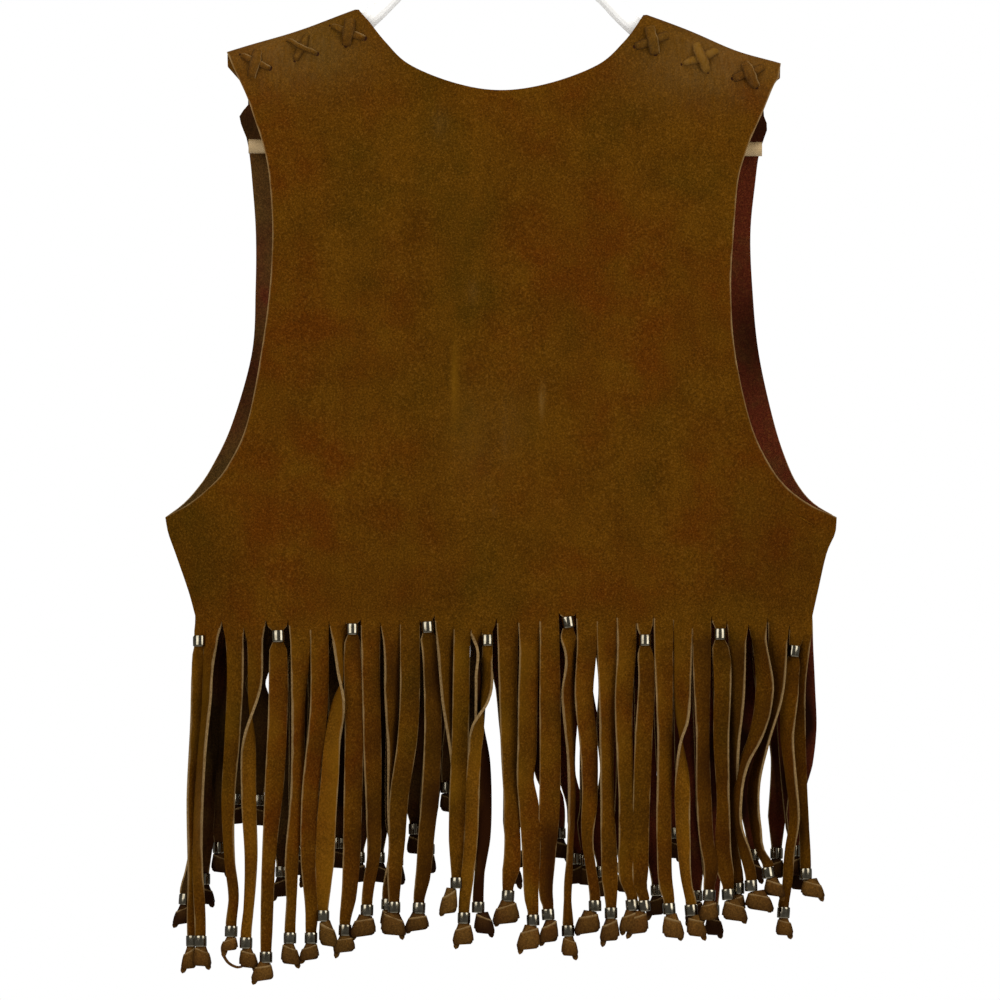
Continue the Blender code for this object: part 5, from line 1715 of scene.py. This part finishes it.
def thong_grid(thong, under, draw):
    """A strip of points on the shoulder: proud along its length, sunk into a slit at both ends."""
    along = np.linspace(0, 1, THONG_ROWS + 1)[:, None]
    across = np.linspace(-1, 1, THONG_COLUMNS + 1)[None, :]
    run = np.array((thong.end_x - thong.start_x, thong.end_level - thong.start_level))
    side = np.array((-run[1], run[0])) / np.linalg.norm(run)
    from_end = 1 - np.abs(2 * along - 1)
    half = smooth_read((0, 0.5, 1), thong.widths, along) / 2
    half = half * (THONG_POINT + (1 - THONG_POINT) * np.sqrt(np.clip(from_end / THONG_TAPER, 0, 1)))
    uneven = sum(reach * np.sin(waves * along + draw.uniform(*PHASES)) for reach, waves in THONG_WAVES)
    offset = half * across + uneven * np.abs(across) * np.sqrt(from_end)
    x = (thong.start_x + run[0] * along + side[0] * offset) * MM
    height = (thong.start_level + run[1] * along + side[1] * offset) * MM
    rise = soft_step(from_end / THONG_RISE)
    crossing = 0 if under else soft_step(from_end / CROSSING_LENGTH - CROSSING_FROM)
    proud = LEATHER / MM / 2 - SLIT_SINK + (SLIT_SINK + THONG_PROUD) * rise + thong.lift * crossing
    proud = proud + THONG_BULGE * rise * (1 - across ** 2)
    points = place_back(x, height) + surface_out(x, height) * (proud * MM)[..., None]
    distance = np.full(x.shape, FAR_FROM_EDGE)
    if thong.pale:
        distance = (1 - thong.pale * across) * half + PALE_FROM
    # Painted shade on the thong's far side and in the holes at its ends
    far_side = -thong.pale * across if thong.pale else np.abs(across)
    shade = -SIDE_SHADE * np.clip(far_side, 0, 1) ** SIDE_POWER
    ends = thong.holes[0] * np.clip(1 - along / HOLE_REACH, 0, 1)
    ends = ends + thong.holes[1] * np.clip(1 - (1 - along) / HOLE_REACH, 0, 1)
    return points, distance, shade - HOLE_SHADE * np.minimum(1, ends)


print("points in a thong:", (THONG_ROWS + 1) * (THONG_COLUMNS + 1))

# %% Crosses of thong
THONG_THICK = 1.2
THONG_SEED = 5


def build_cross(cross, draw):
    """Two thongs in one object, the first under the second."""
    points, faces, edges, tones = [], [], [], []
    count = 0
    for thong in (cross.under, cross.over):
        grid, distance, shade = thong_grid(thong, thong is cross.under, draw)
        points.append(grid.reshape(-1, 3))
        edges += distance.ravel().tolist()
        tones += (cross.tone + shade).ravel().tolist()
        faces += grid_faces(THONG_ROWS + 1, THONG_COLUMNS + 1, count).tolist()
        count += distance.size
    item = mesh_object("thongs_" + cross.node, np.vstack(points), faces,
                       [suedes["suede_outside"], cut_edge],
                       {"tone": tones, "edge": edges, "scuff": [cross.dust] * count})
    face_outwards()
    thicken(item, THONG_THICK * MM, 0)
    return item


thong_draw = random.Random(THONG_SEED)
thongs = [build_cross(cross, thong_draw) for cross in CROSSES]
print("thong crosses:", len(thongs))

# %% Slits for the thongs
SLIT_SIDES = 14
SLIT_LONG = 1.2
SLIT_SHORT = 0.8
SLIT_INWARD = 0.9
SLIT_OUT = 0.12 * MM
SLIT_GRAIN = 500.0
# Colours of the painted shadow in a slit
SLIT_DARK = (0.012, 0.004, 0.002, 1)
SLIT_LESS_DARK = (0.030, 0.010, 0.005, 1)


def slit_grid(x, level, direction, size):
    """A small slit of painted shadow: a dark sheet laid just on the panel where a thong goes through."""
    turn = np.linspace(0, 2 * np.pi, SLIT_SIDES, endpoint=False)
    long_way = SLIT_LONG * size * np.cos(turn)
    short_way = SLIT_SHORT * size * np.sin(turn) + SLIT_INWARD * size
    flat_x = (x - long_way * direction[1] + short_way * direction[0]) * MM
    flat_level = (level + long_way * direction[0] + short_way * direction[1]) * MM
    points = place_back(flat_x, flat_level)
    return points + surface_out(flat_x, flat_level) * (LEATHER / 2 + SLIT_OUT)


def make_slit_shadow():
    material, tree, shader = new_material("slit_painted_shadow")
    depth = noise(tree, object_place(tree), SLIT_GRAIN)
    feed(tree, shader.inputs["Base Color"], mix_colour(tree, depth, SLIT_DARK, SLIT_LESS_DARK))
    make_matte(shader)
    return material


def build_slits():
    points, faces = [], []
    for cross in CROSSES:
        for thong in (cross.under, cross.over):
            run = np.array((thong.end_x - thong.start_x, thong.end_level - thong.start_level))
            run = run / np.linalg.norm(run)
            ends = ((thong.start_x, thong.start_level, run), (thong.end_x, thong.end_level, -run))
            for (x, level, inward), size in zip(ends, thong.holes):
                if size:
                    first = len(points) * SLIT_SIDES
                    points.append(slit_grid(x, level, inward, size))
                    faces.append(tuple(range(first, first + SLIT_SIDES)))
    return mesh_object("lace_slits", np.vstack(points), faces, [make_slit_shadow()], {})


lace_slits = build_slits()
print("slits:", len(lace_slits.data.polygons))

# %% [markdown]
# ## Hanger
# The hanger's shape is right in the CAD model, so its nodes stay and only get a finish: pale wood
# with grain along its length for the arms, a warmer dowel for the bar, and a duller steel than the
# beads' for the hook. The grain is a noise stretched along the wood.

# %% Wood
Wood = namedtuple("Wood", "name pale dark")
WOODS = (
    Wood("pale_wood", (0.91, 0.895, 0.865), (0.86, 0.84, 0.80)),
    Wood("dowel_wood", (0.50, 0.35, 0.17), (0.38, 0.25, 0.11)),
)
RING_STRETCH = (14.0, 260.0, 260.0)
PORE_STRETCH = (90.0, 1500.0, 1500.0)


def make_wood(row):
    material, tree, shader = new_material(row.name)
    rings = noise(tree, object_place(tree, RING_STRETCH), 1.0, 4.0, 0.6)
    pores = noise(tree, object_place(tree, PORE_STRETCH), 1.0, 2.0)
    grain = calculate(tree, "ADD", remap(tree, rings, 0.3, 0.7, 0.0, 0.75),
                      remap(tree, pores, 0.3, 0.7, 0.0, 0.25))
    feed(tree, shader.inputs["Base Color"], mix_colour(tree, grain, (*row.pale, 1), (*row.dark, 1)))
    feed(tree, shader.inputs["Roughness"], remap(tree, grain, 0.0, 1.0, 0.42, 0.6))
    raise_grain(tree, shader, pores, 0.05, 0.3)
    return material


woods = {row.name: make_wood(row) for row in WOODS}
HANGER_FINISH = {
    "hanger_arms": woods["pale_wood"],
    "hanger_strut_left": woods["pale_wood"],
    "hanger_strut_right": woods["pale_wood"],
    "hanger_bar": woods["dowel_wood"],
    "hanger_hook": steels["hook_steel"],
}
for node, finish in HANGER_FINISH.items():
    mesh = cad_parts[node].data
    mesh.materials.clear()
    mesh.materials.append(finish)
print("hanger finished")

# %% [markdown]
# Every piece rides on the one rigid body, and the new shells hide the CAD nodes that they stand for.
# The three panels are sheets of cloth.

# %% Ride and replace
STANDS_FOR = (
    (vest_back, "suede", ("back_panel", "fringe_back")),
    (front_left, "suede", ("front_panel_left", "fringe_front_left")),
    (front_right, "suede", ("front_panel_right", "fringe_front_right")),
    (knots_back, "suede", ()),
    (knots_front, "suede", ()),
    (beads_back, "steel", ()),
    (beads_front, "steel", ()),
    (lace_slits, "lace", ()),
) + tuple((item, "lace", (cross.node,)) for item, cross in zip(thongs, CROSSES))
for item, slot, nodes in STANDS_FOR:
    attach(item, "root")
    if nodes:
        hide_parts(*nodes)

print("pieces declared:", len(STANDS_FOR))
